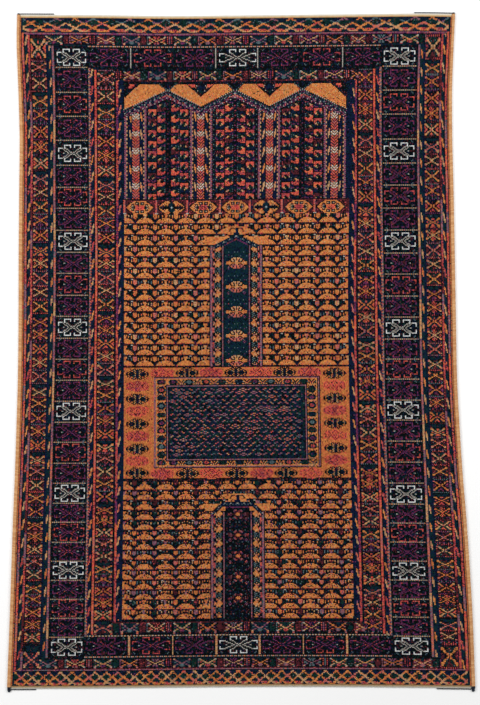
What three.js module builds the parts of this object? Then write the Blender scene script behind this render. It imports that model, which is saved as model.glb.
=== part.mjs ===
// A hand-knotted Afghan prayer rug, lying flat with its pile up, in millimetres.
// +Y runs to the end that the three arches point to, +X to the right, +Z up.
// The rug widens from that end to the other, and its edges wander as hand-woven ones do.
import * as THREE from "three";

// Heights above the floor, and how far the pile drops at its edges
const PILE_HEIGHT = 8.0;
const EDGE_DROP = 1.6;
const WEB_HEIGHT = 2.4;
const SELVEDGE_HEIGHT = 6.6;
const CORD_DIAMETER = 2.6;

// Lengths in plan: the pile, the strip where it eases down, the web past it and the step up from it
const PILE_LENGTH = 1669;
const EASE_WIDTH = 4.0;
const WEB_LENGTH = 9.0;
const WEB_STEP = 0.4;
const GAP = 0.3;

// Mesh steps
const ROWS_DOWN = 44;
const COLUMNS_ACROSS = 14;
const BAND_SIDES = 14;
const CORD_SIDES = 8;
const CORD_STEPS = 8;

// The groove between the two cables under a selvedge's wrapping: its depth, and how steeply it opens
const GROOVE = 0.24;
const GROOVE_SLOPE = 2;
// How much a wrapped cable is pressed flat on the floor: 1 is round
const FLATNESS = 1.35;

// The rug's outer edges at distances down from the top end of the pile, with each selvedge's width
const SIDES = [
  { down: 0, left: -561, right: 535.5, band: 8.0 },
  { down: 60, left: -562, right: 532.5, band: 8.0 },
  { down: 120, left: -560, right: 530, band: 8.4 },
  { down: 185, left: -557.5, right: 528, band: 8.8 },
  { down: 300, left: -554.5, right: 528.5, band: 9.4 },
  { down: 420, left: -555.5, right: 531.5, band: 9.8 },
  { down: 600, left: -557, right: 535, band: 10 },
  { down: 780, left: -557.5, right: 538, band: 10 },
  { down: 900, left: -559, right: 540.5, band: 10 },
  { down: 1020, left: -562.5, right: 546.5, band: 10 },
  { down: 1140, left: -566.5, right: 554.5, band: 10 },
  { down: 1260, left: -571.5, right: 564.5, band: 10 },
  { down: 1380, left: -575.5, right: 572.5, band: 10 },
  { down: 1500, left: -579.5, right: 579.5, band: 10 },
  { down: PILE_LENGTH, left: -586, right: 586, band: 10 },
];

// The two ends of the pile, as heights above and below the middle of the rug
const ENDS = [
  { across: -560, top: 835.3, bottom: -835.8 },
  { across: -350, top: 834.3, bottom: -834.8 },
  { across: -190, top: 832.3, bottom: -832.8 },
  { across: 30, top: 834, bottom: -830.8 },
  { across: 250, top: 836.3, bottom: -831 },
  { across: 450, top: 838.3, bottom: -833 },
  { across: 580, top: 836.5, bottom: -834.5 },
];

// The dark yarn bound round each corner: the wrapped end of the selvedge, and the run along the web
const CORNERS = [
  { name: "top_left", side: -1, end: 1, wrap: 4, run: 84 },
  { name: "top_right", side: 1, end: 1, wrap: 4, run: 94 },
  { name: "bottom_left", side: -1, end: -1, wrap: 13, run: 62 },
  { name: "bottom_right", side: 1, end: -1, wrap: 14, run: 86 },
];

// How far past the web's edge a wrapped corner reaches, taken off its own length
const WRAP_REACH = { top: 3.2, bottom: 8 };

// A wrapped corner's size against the selvedge's, along its length
const WRAP_TIP = [
  { along: 0, squeeze: 0.94 },
  { along: 0.55, squeeze: 0.9 },
  { along: 0.85, squeeze: 0.72 },
  { along: 1, squeeze: 0.4 },
];

const FINISHES = {
  rug_body: { color: 0x8c5a34, roughness: 0.95, metalness: 0 },
  selvedge: { color: 0xc98f55, roughness: 0.9, metalness: 0 },
  corner_yarn: { color: 0x17212e, roughness: 0.9, metalness: 0 },
};

// Reads a column of a station table between its rows, along a smooth curve
function stationValue(table, key, column, at) {
  const last = table.length - 1;
  const place = THREE.MathUtils.clamp(at, table[0][key], table[last][key]);
  const found = table.findIndex((station) => station[key] >= place);
  const next = Math.max(found, 1);
  const low = table[next - 1];
  const high = table[next];
  const before = table[Math.max(next - 2, 0)];
  const after = table[Math.min(next + 1, last)];
  const span = high[key] - low[key];
  const slopeLow = ((high[column] - before[column]) / (high[key] - before[key])) * span;
  const slopeHigh = ((after[column] - low[column]) / (after[key] - low[key])) * span;
  const t = (place - low[key]) / span;
  const t2 = t * t;
  const t3 = t2 * t;
  return (
    (2 * t3 - 3 * t2 + 1) * low[column] +
    (t3 - 2 * t2 + t) * slopeLow +
    (3 * t2 - 2 * t3) * high[column] +
    (t3 - t2) * slopeHigh
  );
}

// The selvedge's width and the edge of the pile inside it, at a share of the way down
function sideAt(side, share) {
  const down = share * PILE_LENGTH;
  const outer = stationValue(SIDES, "down", side < 0 ? "left" : "right", down);
  const band = stationValue(SIDES, "down", "band", down);
  return { band, pile: outer - side * (band + GAP) };
}

// A point of the cloth in plan: u across the pile, v down it, reach outwards past its nearer end
function planPoint(u, v, reach) {
  const x = THREE.MathUtils.lerp(sideAt(-1, v).pile, sideAt(1, v).pile, u);
  const top = stationValue(ENDS, "across", "top", x);
  const bottom = stationValue(ENDS, "across", "bottom", x);
  const y = THREE.MathUtils.lerp(top, bottom, v);
  return new THREE.Vector2(x, v < 0.5 ? y + reach : y - reach);
}

// The rows of the cloth: web, step up to the pile, the pile itself, and the same at the other end
function clothRows() {
  const webRows = [
    { v: 0, reach: WEB_LENGTH, web: true, ease: 0 },
    { v: 0, reach: WEB_STEP, web: true, ease: 0 },
  ];
  const easeShare = EASE_WIDTH / PILE_LENGTH;
  const shares = [easeShare, 1 - easeShare];
  for (let row = 0; row <= ROWS_DOWN; row += 1) {
    shares.push(row / ROWS_DOWN);
  }
  shares.sort((a, b) => a - b);
  const pileRows = shares.map((v) => ({ v, reach: 0, web: false, ease: v === 0 || v === 1 ? 1 : 0 }));
  const lowerWebRows = webRows.map((row) => ({ ...row, v: 1 })).reverse();
  return [...webRows, ...pileRows, ...lowerWebRows];
}

// The columns across the cloth, with one just inside each edge where the pile eases down
function clothColumns() {
  const width = SIDES[0].right - SIDES[0].left;
  const easeShare = EASE_WIDTH / width;
  const columns = [{ u: 0, ease: 1 }];
  for (let column = 0; column <= COLUMNS_ACROSS; column += 1) {
    columns.push({ u: THREE.MathUtils.lerp(easeShare, 1 - easeShare, column / COLUMNS_ACROSS), ease: 0 });
  }
  columns.push({ u: 1, ease: 1 });
  return columns;
}

// Joins a grid of points, rows by columns, to a grid below it, as one closed body
function closedSheet(topGrid, bottomHeight) {
  const rows = topGrid.length;
  const columns = topGrid[0].length;
  const positions = [];
  for (const height of [null, bottomHeight]) {
    for (const row of topGrid) {
      for (const point of row) {
        positions.push(point.x, point.y, height ?? point.z);
      }
    }
  }
  const indices = [];
  const top = (row, column) => row * columns + column;
  const bottom = (row, column) => rows * columns + row * columns + column;
  const quad = (a, b, c, d) => indices.push(a, b, c, a, c, d);
  for (let row = 0; row < rows - 1; row += 1) {
    for (let column = 0; column < columns - 1; column += 1) {
      quad(top(row, column), top(row + 1, column), top(row + 1, column + 1), top(row, column + 1));
      quad(bottom(row, column), bottom(row, column + 1), bottom(row + 1, column + 1), bottom(row + 1, column));
    }
    const right = columns - 1;
    quad(top(row, 0), bottom(row, 0), bottom(row + 1, 0), top(row + 1, 0));
    quad(top(row, right), top(row + 1, right), bottom(row + 1, right), bottom(row, right));
  }
  const end = rows - 1;
  for (let column = 0; column < columns - 1; column += 1) {
    quad(top(0, column), top(0, column + 1), bottom(0, column + 1), bottom(0, column));
    quad(top(end, column), bottom(end, column), bottom(end, column + 1), top(end, column + 1));
  }
  return closedGeometry(positions, indices);
}

// Lofts closed rings of points, all of one size, into a capped body; the rings run to the left in turn
function loftedBand(rings) {
  const size = rings[0].length;
  const positions = rings.flat().flatMap((point) => [point.x, point.y, point.z]);
  const indices = [];
  for (let ring = 0; ring < rings.length - 1; ring += 1) {
    for (let step = 0; step < size; step += 1) {
      const next = (step + 1) % size;
      const a = ring * size + step;
      const b = ring * size + next;
      indices.push(a, b, b + size, a, b + size, a + size);
    }
  }
  const lastRing = (rings.length - 1) * size;
  for (let step = 1; step < size - 1; step += 1) {
    indices.push(0, step + 1, step);
    indices.push(lastRing, lastRing + step, lastRing + step + 1);
  }
  return closedGeometry(positions, indices);
}

function closedGeometry(positions, indices) {
  const geometry = new THREE.BufferGeometry();
  geometry.setAttribute("position", new THREE.Float32BufferAttribute(positions, 3));
  geometry.setIndex(indices);
  geometry.computeVertexNormals();
  return geometry;
}

// The section of a selvedge: two cables side by side under one wrapping, flat below.
// It starts at the outer face and runs over the top to the inner face and back underneath.
function bandSection(band, height) {
  const points = [];
  for (let step = 0; step < BAND_SIDES; step += 1) {
    const angle = (step / BAND_SIDES) * Math.PI * 2;
    const across = Math.cos(angle);
    const groove = 1 - GROOVE * (1 - Math.min(1, Math.abs(across) * GROOVE_SLOPE));
    const rise = Math.sin(angle) < 0 ? Math.max(-1, FLATNESS * Math.sin(angle)) : Math.sin(angle) * groove;
    points.push({ out: (band / 2) * (1 + across), z: (height / 2) * (1 + rise) });
  }
  return points;
}

// A ring of a wrapped band at one place: its inner face stands a gap off the pile's edge
function bandRing(side, v, reach, squeeze) {
  const edge = sideAt(side, v);
  const y = planPoint(side < 0 ? 0 : 1, v, reach).y;
  const section = bandSection(edge.band * squeeze, SELVEDGE_HEIGHT * squeeze);
  const inset = (edge.band * (1 - squeeze)) / 2 + GAP;
  const ring = section.map(({ out, z }) => new THREE.Vector3(edge.pile + side * (inset + out), y, z));
  return side < 0 ? ring.reverse() : ring;
}

function makeRugBody() {
  const columns = clothColumns();
  const grid = clothRows().map((row) =>
    columns.map((column) => {
      const { x, y } = planPoint(column.u, row.v, row.reach);
      const eased = Math.max(row.ease, column.ease) * EDGE_DROP;
      return new THREE.Vector3(x, y, row.web ? WEB_HEIGHT : PILE_HEIGHT - eased);
    }),
  );
  return closedSheet(grid, 0);
}

// How far past the pile's end a selvedge runs before the corner's dark wrapping takes over
function selvedgeReach(end, side) {
  const corner = CORNERS.find((entry) => entry.end === end && entry.side === side);
  const wrapReach = end > 0 ? WRAP_REACH.top : WRAP_REACH.bottom;
  return WEB_LENGTH + wrapReach - corner.wrap - GAP;
}

function makeSelvedge(side) {
  const rings = [bandRing(side, 0, selvedgeReach(1, side), 1)];
  for (let row = 0; row <= ROWS_DOWN; row += 1) {
    rings.push(bandRing(side, row / ROWS_DOWN, 0, 1));
  }
  rings.push(bandRing(side, 1, selvedgeReach(-1, side), 1));
  return loftedBand(rings);
}

// The wrapped end of a selvedge, which narrows to a blunt tip
function makeCornerWrap({ side, end, wrap }) {
  const start = selvedgeReach(end, side) + GAP;
  const v = end > 0 ? 0 : 1;
  const rings = WRAP_TIP.map(({ along, squeeze }) => bandRing(side, v, start + along * wrap, squeeze));
  return loftedBand(end > 0 ? rings.reverse() : rings);
}

// The dark yarn that runs from the wrapped corner along the outer edge of the web
function makeCornerRun({ side, end, run }) {
  const radius = CORD_DIAMETER / 2;
  const v = end > 0 ? 0 : 1;
  const reach = WEB_LENGTH + GAP + radius;
  const width = sideAt(1, v).pile - sideAt(-1, v).pile;
  const rings = [];
  for (let step = 0; step <= CORD_STEPS; step += 1) {
    const u = ((step / CORD_STEPS) * run) / width;
    const centre = planPoint(side < 0 ? u : 1 - u, v, reach);
    const ring = [];
    for (let corner = 0; corner < CORD_SIDES; corner += 1) {
      const angle = ((corner + 0.5) / CORD_SIDES) * Math.PI * 2;
      const y = centre.y + radius * Math.cos(angle);
      ring.push(new THREE.Vector3(centre.x, y, radius * (1 + Math.sin(angle))));
    }
    rings.push(side < 0 ? ring : ring.reverse());
  }
  return loftedBand(rings);
}

function namedMesh(name, geometry, finish) {
  const mesh = new THREE.Mesh(geometry, new THREE.MeshStandardMaterial(finish));
  mesh.name = name;
  return mesh;
}

const rug = new THREE.Group();
rug.add(namedMesh("rug_body", makeRugBody(), FINISHES.rug_body));
rug.add(namedMesh("selvedge_left", makeSelvedge(-1), FINISHES.selvedge));
rug.add(namedMesh("selvedge_right", makeSelvedge(1), FINISHES.selvedge));
for (const corner of CORNERS) {
  rug.add(namedMesh(`corner_wrap_${corner.name}`, makeCornerWrap(corner), FINISHES.corner_yarn));
  rug.add(namedMesh(`corner_run_${corner.name}`, makeCornerRun(corner), FINISHES.corner_yarn));
}

// The origin is on the floor under the middle of the whole rug
const extent = new THREE.Box3().setFromObject(rug);
const middle = extent.getCenter(new THREE.Vector3());
rug.position.set(-middle.x, -middle.y, -extent.min.z);

export default rug;
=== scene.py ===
"""An Afghan prayer rug, knotted in wool, lying flat on a pale floor and seen from straight above.

The pile's pattern is a knot chart, drawn here motif by motif as a weaver would chart it, and
every face of the cloth holds a four by four block of its knots. Sizes are in metres unless a
name says knots, and the plan of the cloth repeats the stations of the CAD model.
"""
import logging
import math
from collections.abc import Callable, Sequence
from dataclasses import dataclass, field
from enum import Enum, IntEnum
from itertools import pairwise, product
from typing import NamedTuple

import bpy
import numpy as np
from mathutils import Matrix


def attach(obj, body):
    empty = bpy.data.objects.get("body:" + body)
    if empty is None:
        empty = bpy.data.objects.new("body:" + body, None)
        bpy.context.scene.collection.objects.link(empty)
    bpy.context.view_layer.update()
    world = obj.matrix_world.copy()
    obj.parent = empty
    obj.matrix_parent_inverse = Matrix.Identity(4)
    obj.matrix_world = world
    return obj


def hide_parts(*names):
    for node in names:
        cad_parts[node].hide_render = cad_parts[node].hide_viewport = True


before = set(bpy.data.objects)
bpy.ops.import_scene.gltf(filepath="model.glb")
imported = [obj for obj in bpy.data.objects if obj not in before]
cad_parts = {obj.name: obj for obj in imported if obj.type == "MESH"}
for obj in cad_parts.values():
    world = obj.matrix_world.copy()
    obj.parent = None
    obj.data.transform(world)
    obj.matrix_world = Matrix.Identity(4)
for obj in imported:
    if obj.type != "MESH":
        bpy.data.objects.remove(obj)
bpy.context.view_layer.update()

LOG = logging.getLogger("prayer_rug")
MM = 0.001

# Heights and widths of the cloth, as in the CAD model
PILE_LENGTH = 1669 * MM
PILE_HEIGHT = 8.0 * MM
EDGE_DROP = 1.6 * MM
EASE_WIDTH = 4.0 * MM
WEB_HEIGHT = 2.4 * MM
WEB_LENGTH = 9.0 * MM
WEB_STEP = 0.4 * MM
GAP = 0.3 * MM
SELVEDGE_HEIGHT = 6.6 * MM
CORD_RADIUS = 1.3 * MM
# The CAD model's move that brings the middle of the whole rug to the origin
CENTRING = 1.35 * MM

# The chart: knots across and down, and the block of knots that one face holds each way
KNOTS_ACROSS = 432
KNOTS_DOWN = 668
BLOCK = 4

Point = tuple[float, float, float]
# A place along an edge: the pile edge's x, the y, the selvedge's width and its squeeze
Stretch = tuple[float, float, float, float]
Colour = tuple[float, float, float, float]


class SideStation(NamedTuple):
    """The outer edges and the selvedges' width at a distance down from the top of the pile, in mm."""

    down: float
    left: float
    right: float
    band: float


class EndStation(NamedTuple):
    """The two ends of the pile at a distance across from the middle, in mm."""

    across: float
    top: float
    bottom: float


class GuideStation(NamedTuple):
    """Where the lines of the pattern stand across the rug at a distance down, in mm."""

    down: float
    box_left: float
    inner_left: float
    field_left: float
    field_right: float
    inner_right: float
    box_right: float


SIDES = [SideStation(*row) for row in (
    (0, -561, 535.5, 8.0), (60, -562, 532.5, 8.0), (120, -560, 530, 8.4), (185, -557.5, 528, 8.8),
    (300, -554.5, 528.5, 9.4), (420, -555.5, 531.5, 9.8), (600, -557, 535, 10), (780, -557.5, 538, 10),
    (900, -559, 540.5, 10), (1020, -562.5, 546.5, 10), (1140, -566.5, 554.5, 10),
    (1260, -571.5, 564.5, 10), (1380, -575.5, 572.5, 10), (1500, -579.5, 579.5, 10), (1669, -586, 586, 10),
)]
ENDS = [EndStation(*row) for row in (
    (-560, 835.3, -835.8), (-350, 834.3, -834.8), (-190, 832.3, -832.8), (30, 834, -830.8),
    (250, 836.3, -831), (450, 838.3, -833), (580, 836.5, -834.5),
)]
GUIDES = [GuideStation(*row) for row in (
    (0, -467, -367, -293, 273, 333, 440.5),
    (198, -460.5, -364, -292, 272, 332, 436),
    (418, -460, -363, -292, 271, 334, 436),
    (638, -459, -362, -292.5, 267, 337, 440.5),
    (858, -461.5, -364.5, -293, 268.5, 339, 443),
    (1078, -466.5, -366, -293.5, 273, 344.5, 450.5),
    (1298, -471.5, -369, -295.5, 278, 350.5, 459),
    (1518, -476.5, -372.5, -298, 282, 357, 468.5),
    (1669, -480.5, -374.5, -299, 284.5, 361, 474.5),
)]
# The chart columns that the guides stand on, with the two edges of the pile
GUIDE_COLUMNS = (0, 36, 75, 103, 329, 357, 396, KNOTS_ACROSS)


def held(value: float, low: float = 0.0, high: float = 1.0) -> float:
    """Returns a value held between two others."""
    return min(max(value, low), high)


def whole(value: float) -> int:
    """Returns the nearest whole number, halves upwards."""
    return math.floor(value + 0.5)


def station_value(table: Sequence[NamedTuple], column: str, at: float) -> float:
    """Reads a column of a station table between its rows, along a smooth curve.

    Args:
        table: Rows in the order of their first column.
        column: The name of the column to read.
        at: The place in the first column, held within the table.

    Returns:
        The value at that place.
    """
    last = len(table) - 1
    place = held(at, table[0][0], table[last][0])
    ahead = max(next(index for index, row in enumerate(table) if row[0] >= place), 1)
    near = [table[min(max(ahead + step, 0), last)] for step in (-2, -1, 0, 1)]
    at_row, value = [row[0] for row in near], [getattr(row, column) for row in near]
    span = at_row[2] - at_row[1]
    slope_low = (value[2] - value[0]) / (at_row[2] - at_row[0]) * span
    slope_high = (value[3] - value[1]) / (at_row[3] - at_row[1]) * span
    t = (place - at_row[1]) / span
    from_low = (2 * t**3 - 3 * t**2 + 1) * value[1] + (t**3 - 2 * t**2 + t) * slope_low
    from_high = (3 * t**2 - 2 * t**3) * value[2] + (t**3 - t**2) * slope_high
    return from_low + from_high


class RugPlan:
    """The rug in plan: its edges, and the place of every knot of the chart."""

    def side(self, side: int, share: float) -> tuple[float, float]:
        """Finds one edge of the pile and the width of the selvedge beside it.

        Args:
            side: -1 for the left edge, 1 for the right.
            share: The share of the pile's length, down from its top.

        Returns:
            The pile edge's x and the selvedge's width.
        """
        down = share * PILE_LENGTH / MM
        band = station_value(SIDES, "band", down) * MM
        outer = station_value(SIDES, "left" if side < 0 else "right", down) * MM
        return outer - side * (band + GAP), band

    def lengthwise(self, x: float, share: float, reach: float = 0.0) -> float:
        """Finds the y of a point, given how far down the pile it is and how far past its end.

        Args:
            x: The place across the rug.
            share: The share of the pile's length, down from its top.
            reach: The distance outwards past the nearer end.

        Returns:
            The y of the point.
        """
        top, bottom = (station_value(ENDS, end, x / MM) * MM for end in ("top", "bottom"))
        y = top + (bottom - top) * share
        return (y + reach if share < 0.5 else y - reach) + CENTRING

    def columns(self, share: float) -> list[float]:
        """Returns the x of every guide line, edges of the pile included, at a share of the length."""
        down = share * PILE_LENGTH / MM
        guides = [station_value(GUIDES, name, down) * MM for name in GuideStation._fields[1:]]
        return [self.side(-1, share)[0], *guides, self.side(1, share)[0]]


PLAN = RugPlan()


class Wool(IntEnum):
    """The dyed wools of the pile, in the order that the faces of the cloth number them."""

    BLACK = 0
    NAVY = 1
    TEAL = 2
    GREEN = 3
    MAROON = 4
    CRIMSON = 5
    SCARLET = 6
    PURPLE = 7
    MAUVE = 8
    PINK = 9
    GOLD = 10
    AMBER = 11
    TAN = 12
    CREAM = 13
    WHITE = 14
    SLATE = 15


# Each wool's colour on the rug, as screen red, green and blue out of 255
DYES = {
    Wool.BLACK: (5, 10, 14),
    Wool.NAVY: (8, 20, 54),
    Wool.TEAL: (4, 38, 50),
    Wool.GREEN: (12, 48, 38),
    Wool.MAROON: (82, 28, 36),
    Wool.CRIMSON: (168, 48, 52),
    Wool.SCARLET: (210, 74, 40),
    Wool.PURPLE: (104, 38, 84),
    Wool.MAUVE: (136, 86, 98),
    Wool.PINK: (188, 94, 80),
    Wool.GOLD: (208, 121, 44),
    Wool.AMBER: (188, 100, 34),
    Wool.TAN: (192, 144, 96),
    Wool.CREAM: (166, 160, 150),
    Wool.WHITE: (208, 210, 208),
    Wool.SLATE: (82, 102, 108),
}
WOOLS = len(Wool)
# The letters of the small charts, in the order of the wools
LETTERS = dict(zip("knevmcsuopgatiwl", Wool))


def wools(letters: str) -> tuple[Wool, ...]:
    """Returns the wools of a string of letters."""
    return tuple(LETTERS[letter] for letter in letters)


def nth(letters: str, index: int) -> Wool:
    """Returns the wool whose turn it is in a round of letters."""
    return LETTERS[letters[index % len(letters)]]


def mirrored(drawing: Sequence[str]) -> list[str]:
    """Returns a chart with its left half repeated, turned round its last column."""
    return [line + line[-2::-1] for line in drawing]


@dataclass
class Chart:
    """The knot chart of the pile, a wool for each knot, on a dark ground to start with."""

    knots: np.ndarray = field(
        default_factory=lambda: np.full((KNOTS_DOWN, KNOTS_ACROSS), int(Wool.BLACK), dtype=np.int64)
    )

    def speckle(self, chances: dict[str, dict[str, float]], seed: int) -> None:
        """Swaps single knots for near wools, as an uneven dye lot does.

        Args:
            chances: For each wool, the wools that stand in for it and how often.
            seed: The seed of the draw.
        """
        draw = np.random.default_rng(seed).random(self.knots.shape)
        before = self.knots.copy()
        for letter, swaps in chances.items():
            start = 0.0
            for other, share in swaps.items():
                chosen = (before == LETTERS[letter]) & (draw >= start) & (draw < start + share)
                self.knots[chosen] = LETTERS[other]
                start += share


@dataclass(frozen=True)
class Pen:
    """A place and a direction to draw in, so that one motif serves both sides and both ends.

    x and y are the pen's own knots: for a border, x runs inwards from the edge and y along it.
    """

    chart: Chart
    column: float = 0.0
    row: float = 0.0
    column_way: int = 1
    row_way: int = 1
    turned: bool = False

    def place(self, x: float, y: float) -> tuple[float, float]:
        """Returns the chart's column and row for a point of the pen's."""
        along, inward = (y, x) if self.turned else (x, y)
        return self.column + self.column_way * along, self.row + self.row_way * inward

    def fill(self, x0: float, y0: float, x1: float, y1: float, wool: Wool) -> None:
        """Fills a rectangle between two points of the pen's.

        Args:
            x0: One edge's x.
            y0: One edge's y.
            x1: The other edge's x.
            y1: The other edge's y.
            wool: The wool to knot.
        """
        spans = zip(self.place(x0, y0), self.place(x1, y1))
        (first, last), (upper, lower) = (sorted(max(whole(end), 0) for end in span) for span in spans)
        self.chart.knots[upper:lower, first:last] = wool

    def knot(self, x: float, y: float, wool: Wool) -> None:
        """Ties the knot that has its lower corner at a whole point of the pen's, if it is on the chart."""
        column, row = (math.floor(at) for at in self.place(math.floor(x) + 0.5, math.floor(y) + 0.5))
        if 0 <= row < KNOTS_DOWN and 0 <= column < KNOTS_ACROSS:
            self.chart.knots[row, column] = wool

    def line(self, x0: float, y0: float, x1: float, y1: float, wool: Wool) -> None:
        """Draws a straight line, one knot thick, from one point to another.

        Args:
            x0: The first knot's x.
            y0: The first knot's y.
            x1: The last knot's x.
            y1: The last knot's y.
            wool: The wool to knot.
        """
        steps = max(1, whole(max(abs(x1 - x0), abs(y1 - y0))))
        for t in (step / steps for step in range(steps + 1)):
            self.knot(x0 + (x1 - x0) * t, y0 + (y1 - y0) * t, wool)

    def dots(self, x: float, y0: float, y1: float, letters: str) -> None:
        """Draws a line of single knots along y, in a round of wools."""
        for index, y in enumerate(range(whole(y0), whole(y1))):
            self.knot(x, y, nth(letters, index))

    def stretch(
        self, drawing: Sequence[str], x0: float, y0: float, x1: float, y1: float, swap: dict[str, Wool]
    ) -> None:
        """Knots a small chart of letters over a rectangle, as wide and as long as that is.

        Args:
            drawing: The chart, a string for each row; a dot is left as it is.
            x0: The first edge across.
            y0: The first edge along.
            x1: The last edge across.
            y1: The last edge along.
            swap: Other wools for some of its letters.
        """
        key = LETTERS | swap
        high, wide = len(drawing), len(drawing[0])
        for y in range(whole(y0), whole(y1)):
            line = drawing[int(held((y + 0.5 - y0) / (y1 - y0) * high, 0, high - 1))]
            for x in range(whole(x0), whole(x1)):
                letter = line[int(held((x + 0.5 - x0) / (x1 - x0) * wide, 0, wide - 1))]
                if letter != ".":
                    self.knot(x, y, key[letter])

    def stamp(self, drawing: Sequence[str], x: float, y: float, swap: dict[str, Wool] | None = None) -> None:
        """Knots a small chart of letters as it is, with its first letter at x, y.

        Args:
            drawing: The chart.
            x: Where its first column stands.
            y: Where its first row stands.
            swap: Other wools for some of its letters.
        """
        left, top = math.floor(x), math.floor(y)
        self.stretch(drawing, left, top, left + len(drawing[0]), top + len(drawing), swap or {})

    def quarters(
        self, drawing: Sequence[str], x: float, y: float, swap: dict[str, Wool] | None = None
    ) -> None:
        """Knots a motif of four alike quarters.

        Args:
            drawing: The chart of the quarter above left.
            x: The motif's middle column.
            y: Its middle row.
            swap: Other wools for some of its letters.
        """
        half = mirrored(drawing)
        left, top = math.floor(x) - len(drawing[0]) + 1, math.floor(y) - len(drawing) + 1
        self.stamp([*half, *half[-2::-1]], left, top, swap)


# The wools of the crosses, in turn: arm, foot, accent, bar and ground; the end borders' are duller
CROSS_LOOKS = ("tgsmv", "atcuk", "ggmcv", "ptmoe", "aasme", "apulk", "tpmcv")
END_LOOKS = ("tiuov", "otlle", "aoomk", "ticov", "tloum")


def cross_wools(looks: Sequence[str], index: int) -> dict[str, Wool]:
    """Returns a cross's wools under its chart's letters: x arm, f foot, h accent, b bar, d ground."""
    return dict(zip("xfhbd", wools(looks[index % len(looks)])))


OPEN_CROSS = mirrored("""
kbkbkbkb
kkkkkmkk
ffdddddk
fxxddddh
kkxxdddh
hkkxxddk
hhkkkxxd
mhhkkkxh
hhkkkxxd
hkkxxddk
kkxxdddh
fxxdddhh
ffdddhmm
kkkdkmkk
bkbkbkbk
""".split())
DENSE_CROSS = """
kbmbkbmbkbmbkbm
kkkvkkkhhkkvkkk
ffkkvhkhkhvkkff
fxxkkkhvhkkkxxf
kvkxxkkhkkxxkvk
khvkkxxvxxkkvhk
mkhkvkxxxkvkhkm
khvkkxxvxxkkvhk
kvkxxkkhkkxxkvk
fxxkkkhvhkkkxxf
ffkkvhkhkhvkkff
kkkvkkkhhkkvkkk
kukukvkukvkukuk
lkkbkkkbkkkbkkl
""".split()
BLOCK_CROSS = """
kkkkkkkkkkkkkkk
keeeeekekeeeeek
kkeeeeevevevekk
kkkeeekekeeekkk
ffdkkkkkkkkkdff
fxxdddhhhdddxxf
ddxxdddhdddxxdd
ddddxxdddxxdddd
dhhdddxxxdddhhd
ddddxxdddxxdddd
ddxxdddhdddxxdd
fxxdddhhhdddxxf
ffdddhhhhhdddff
kdkmkdkmkdkmkdk
""".split()
CROSS_CHARTS = (OPEN_CROSS, DENSE_CROSS, OPEN_CROSS, BLOCK_CROSS, DENSE_CROSS)
# The wider crosses of the end borders, each with the block beside it
END_CROSS = """
kkkkkkkkkkkkkkkkkkkkkkkkk
ffdddddeeedddddffkvvvvvkb
dxxddddeeeddddxxdkkvvvkkb
dddxxdddedddxxdddkvvvvvkb
dhhddxxdddxxddhhdkvvvvvkm
ddddddxxxxxddddddkvvvvvkb
dddxxddhhhddxxdddkvvvvvkm
dxxdddhhhhhdddxxdkkvvvkkb
ffdddddhhhdddddffkvvvvvkb
ppkkkkkkkkkkkkkppkkkkkkkk
""".split()
END_STAR = """
kkkkkkkkkkkkkkkkkkkkkkkkk
ffkkkhhkhkhhkkkffkckbkckk
kxxkkkhhkhhkkkxxkkmkbkmkk
kkkxxkkhkhkkxxkkkkckbkckk
khhkkxxkkkxxkkhhkkmkbkmkk
khhhkkkxxxkkkhhhkkckbkckk
kkkxxkkhkhkkxxkkkkmkbkmkk
kxxkkkhhkhhkkkxxkkckbkckk
ffkkkkbbkbbkkkkffkkkukkkk
kkkkkkkkkkkkkkkkkkkkkkkkk
""".split()


def draw_crosses(pen: Pen, inner: float, outer: float, edges: Sequence[float], first: int) -> None:
    """Draws a narrow side border of crosses between bars, whose wools change from one to the next.

    Args:
        pen: The side's pen.
        inner: The border's first edge across.
        outer: Its last edge across.
        edges: The rows where the crosses begin, with the last one's end.
        first: Which cross of the round comes first.
    """
    for index, (start, end) in enumerate(pairwise(edges), first):
        drawing = CROSS_CHARTS[index % len(CROSS_CHARTS)]
        pen.stretch(drawing, inner, start, outer, end, cross_wools(CROSS_LOOKS, index * 3))


def draw_end_crosses(chart: Chart, rows: tuple[float, float], margin: float, count: int, first: int) -> None:
    """Draws a border of crosses and blocks along an end of the rug.

    Args:
        chart: The chart.
        rows: The border's first and last rows.
        margin: Its distance from both sides.
        count: How many crosses it holds.
        first: Which cross of the round comes first.
    """
    edges = np.linspace(margin, KNOTS_ACROSS - margin, count + 1)
    for index, (start, end) in enumerate(pairwise(edges), first):
        swap = cross_wools(END_LOOKS, index * 2) | {"v": nth("mnv", index)}
        Pen(chart).stretch(END_STAR if index % 3 == 1 else END_CROSS, start, rows[0], end, rows[1], swap)


@dataclass
class FlameLine:
    """A narrow strip of slanting flames, light on dark, as a two-colour cord looks."""

    pen: Pen
    inner: float
    outer: float
    start: float
    end: float
    pitch: float
    phase: float = 0.0
    ground: Wool = Wool.TEAL
    lights: str = "tgtcg"
    light_share: float = 0.56

    def draw(self) -> None:
        """Draws the strip's ground and its flames."""
        self.pen.fill(self.inner, self.start, self.outer, self.end, self.ground)
        width = self.outer - self.inner
        for y in range(whole(self.start), whole(self.end)):
            turn = (y - self.start) / self.pitch + self.phase
            t = (turn % 1) / self.light_share
            middle = self.inner + width * (0.75 - 0.5 * t)
            half = 0.34 + width * 0.17 * math.sin(math.pi * t)
            for x in range(whole(self.inner), whole(self.outer)):
                if t < 1 and abs(x + 0.5 - middle) <= half:
                    self.pen.knot(x, y, nth(self.lights, int(turn)))


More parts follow.
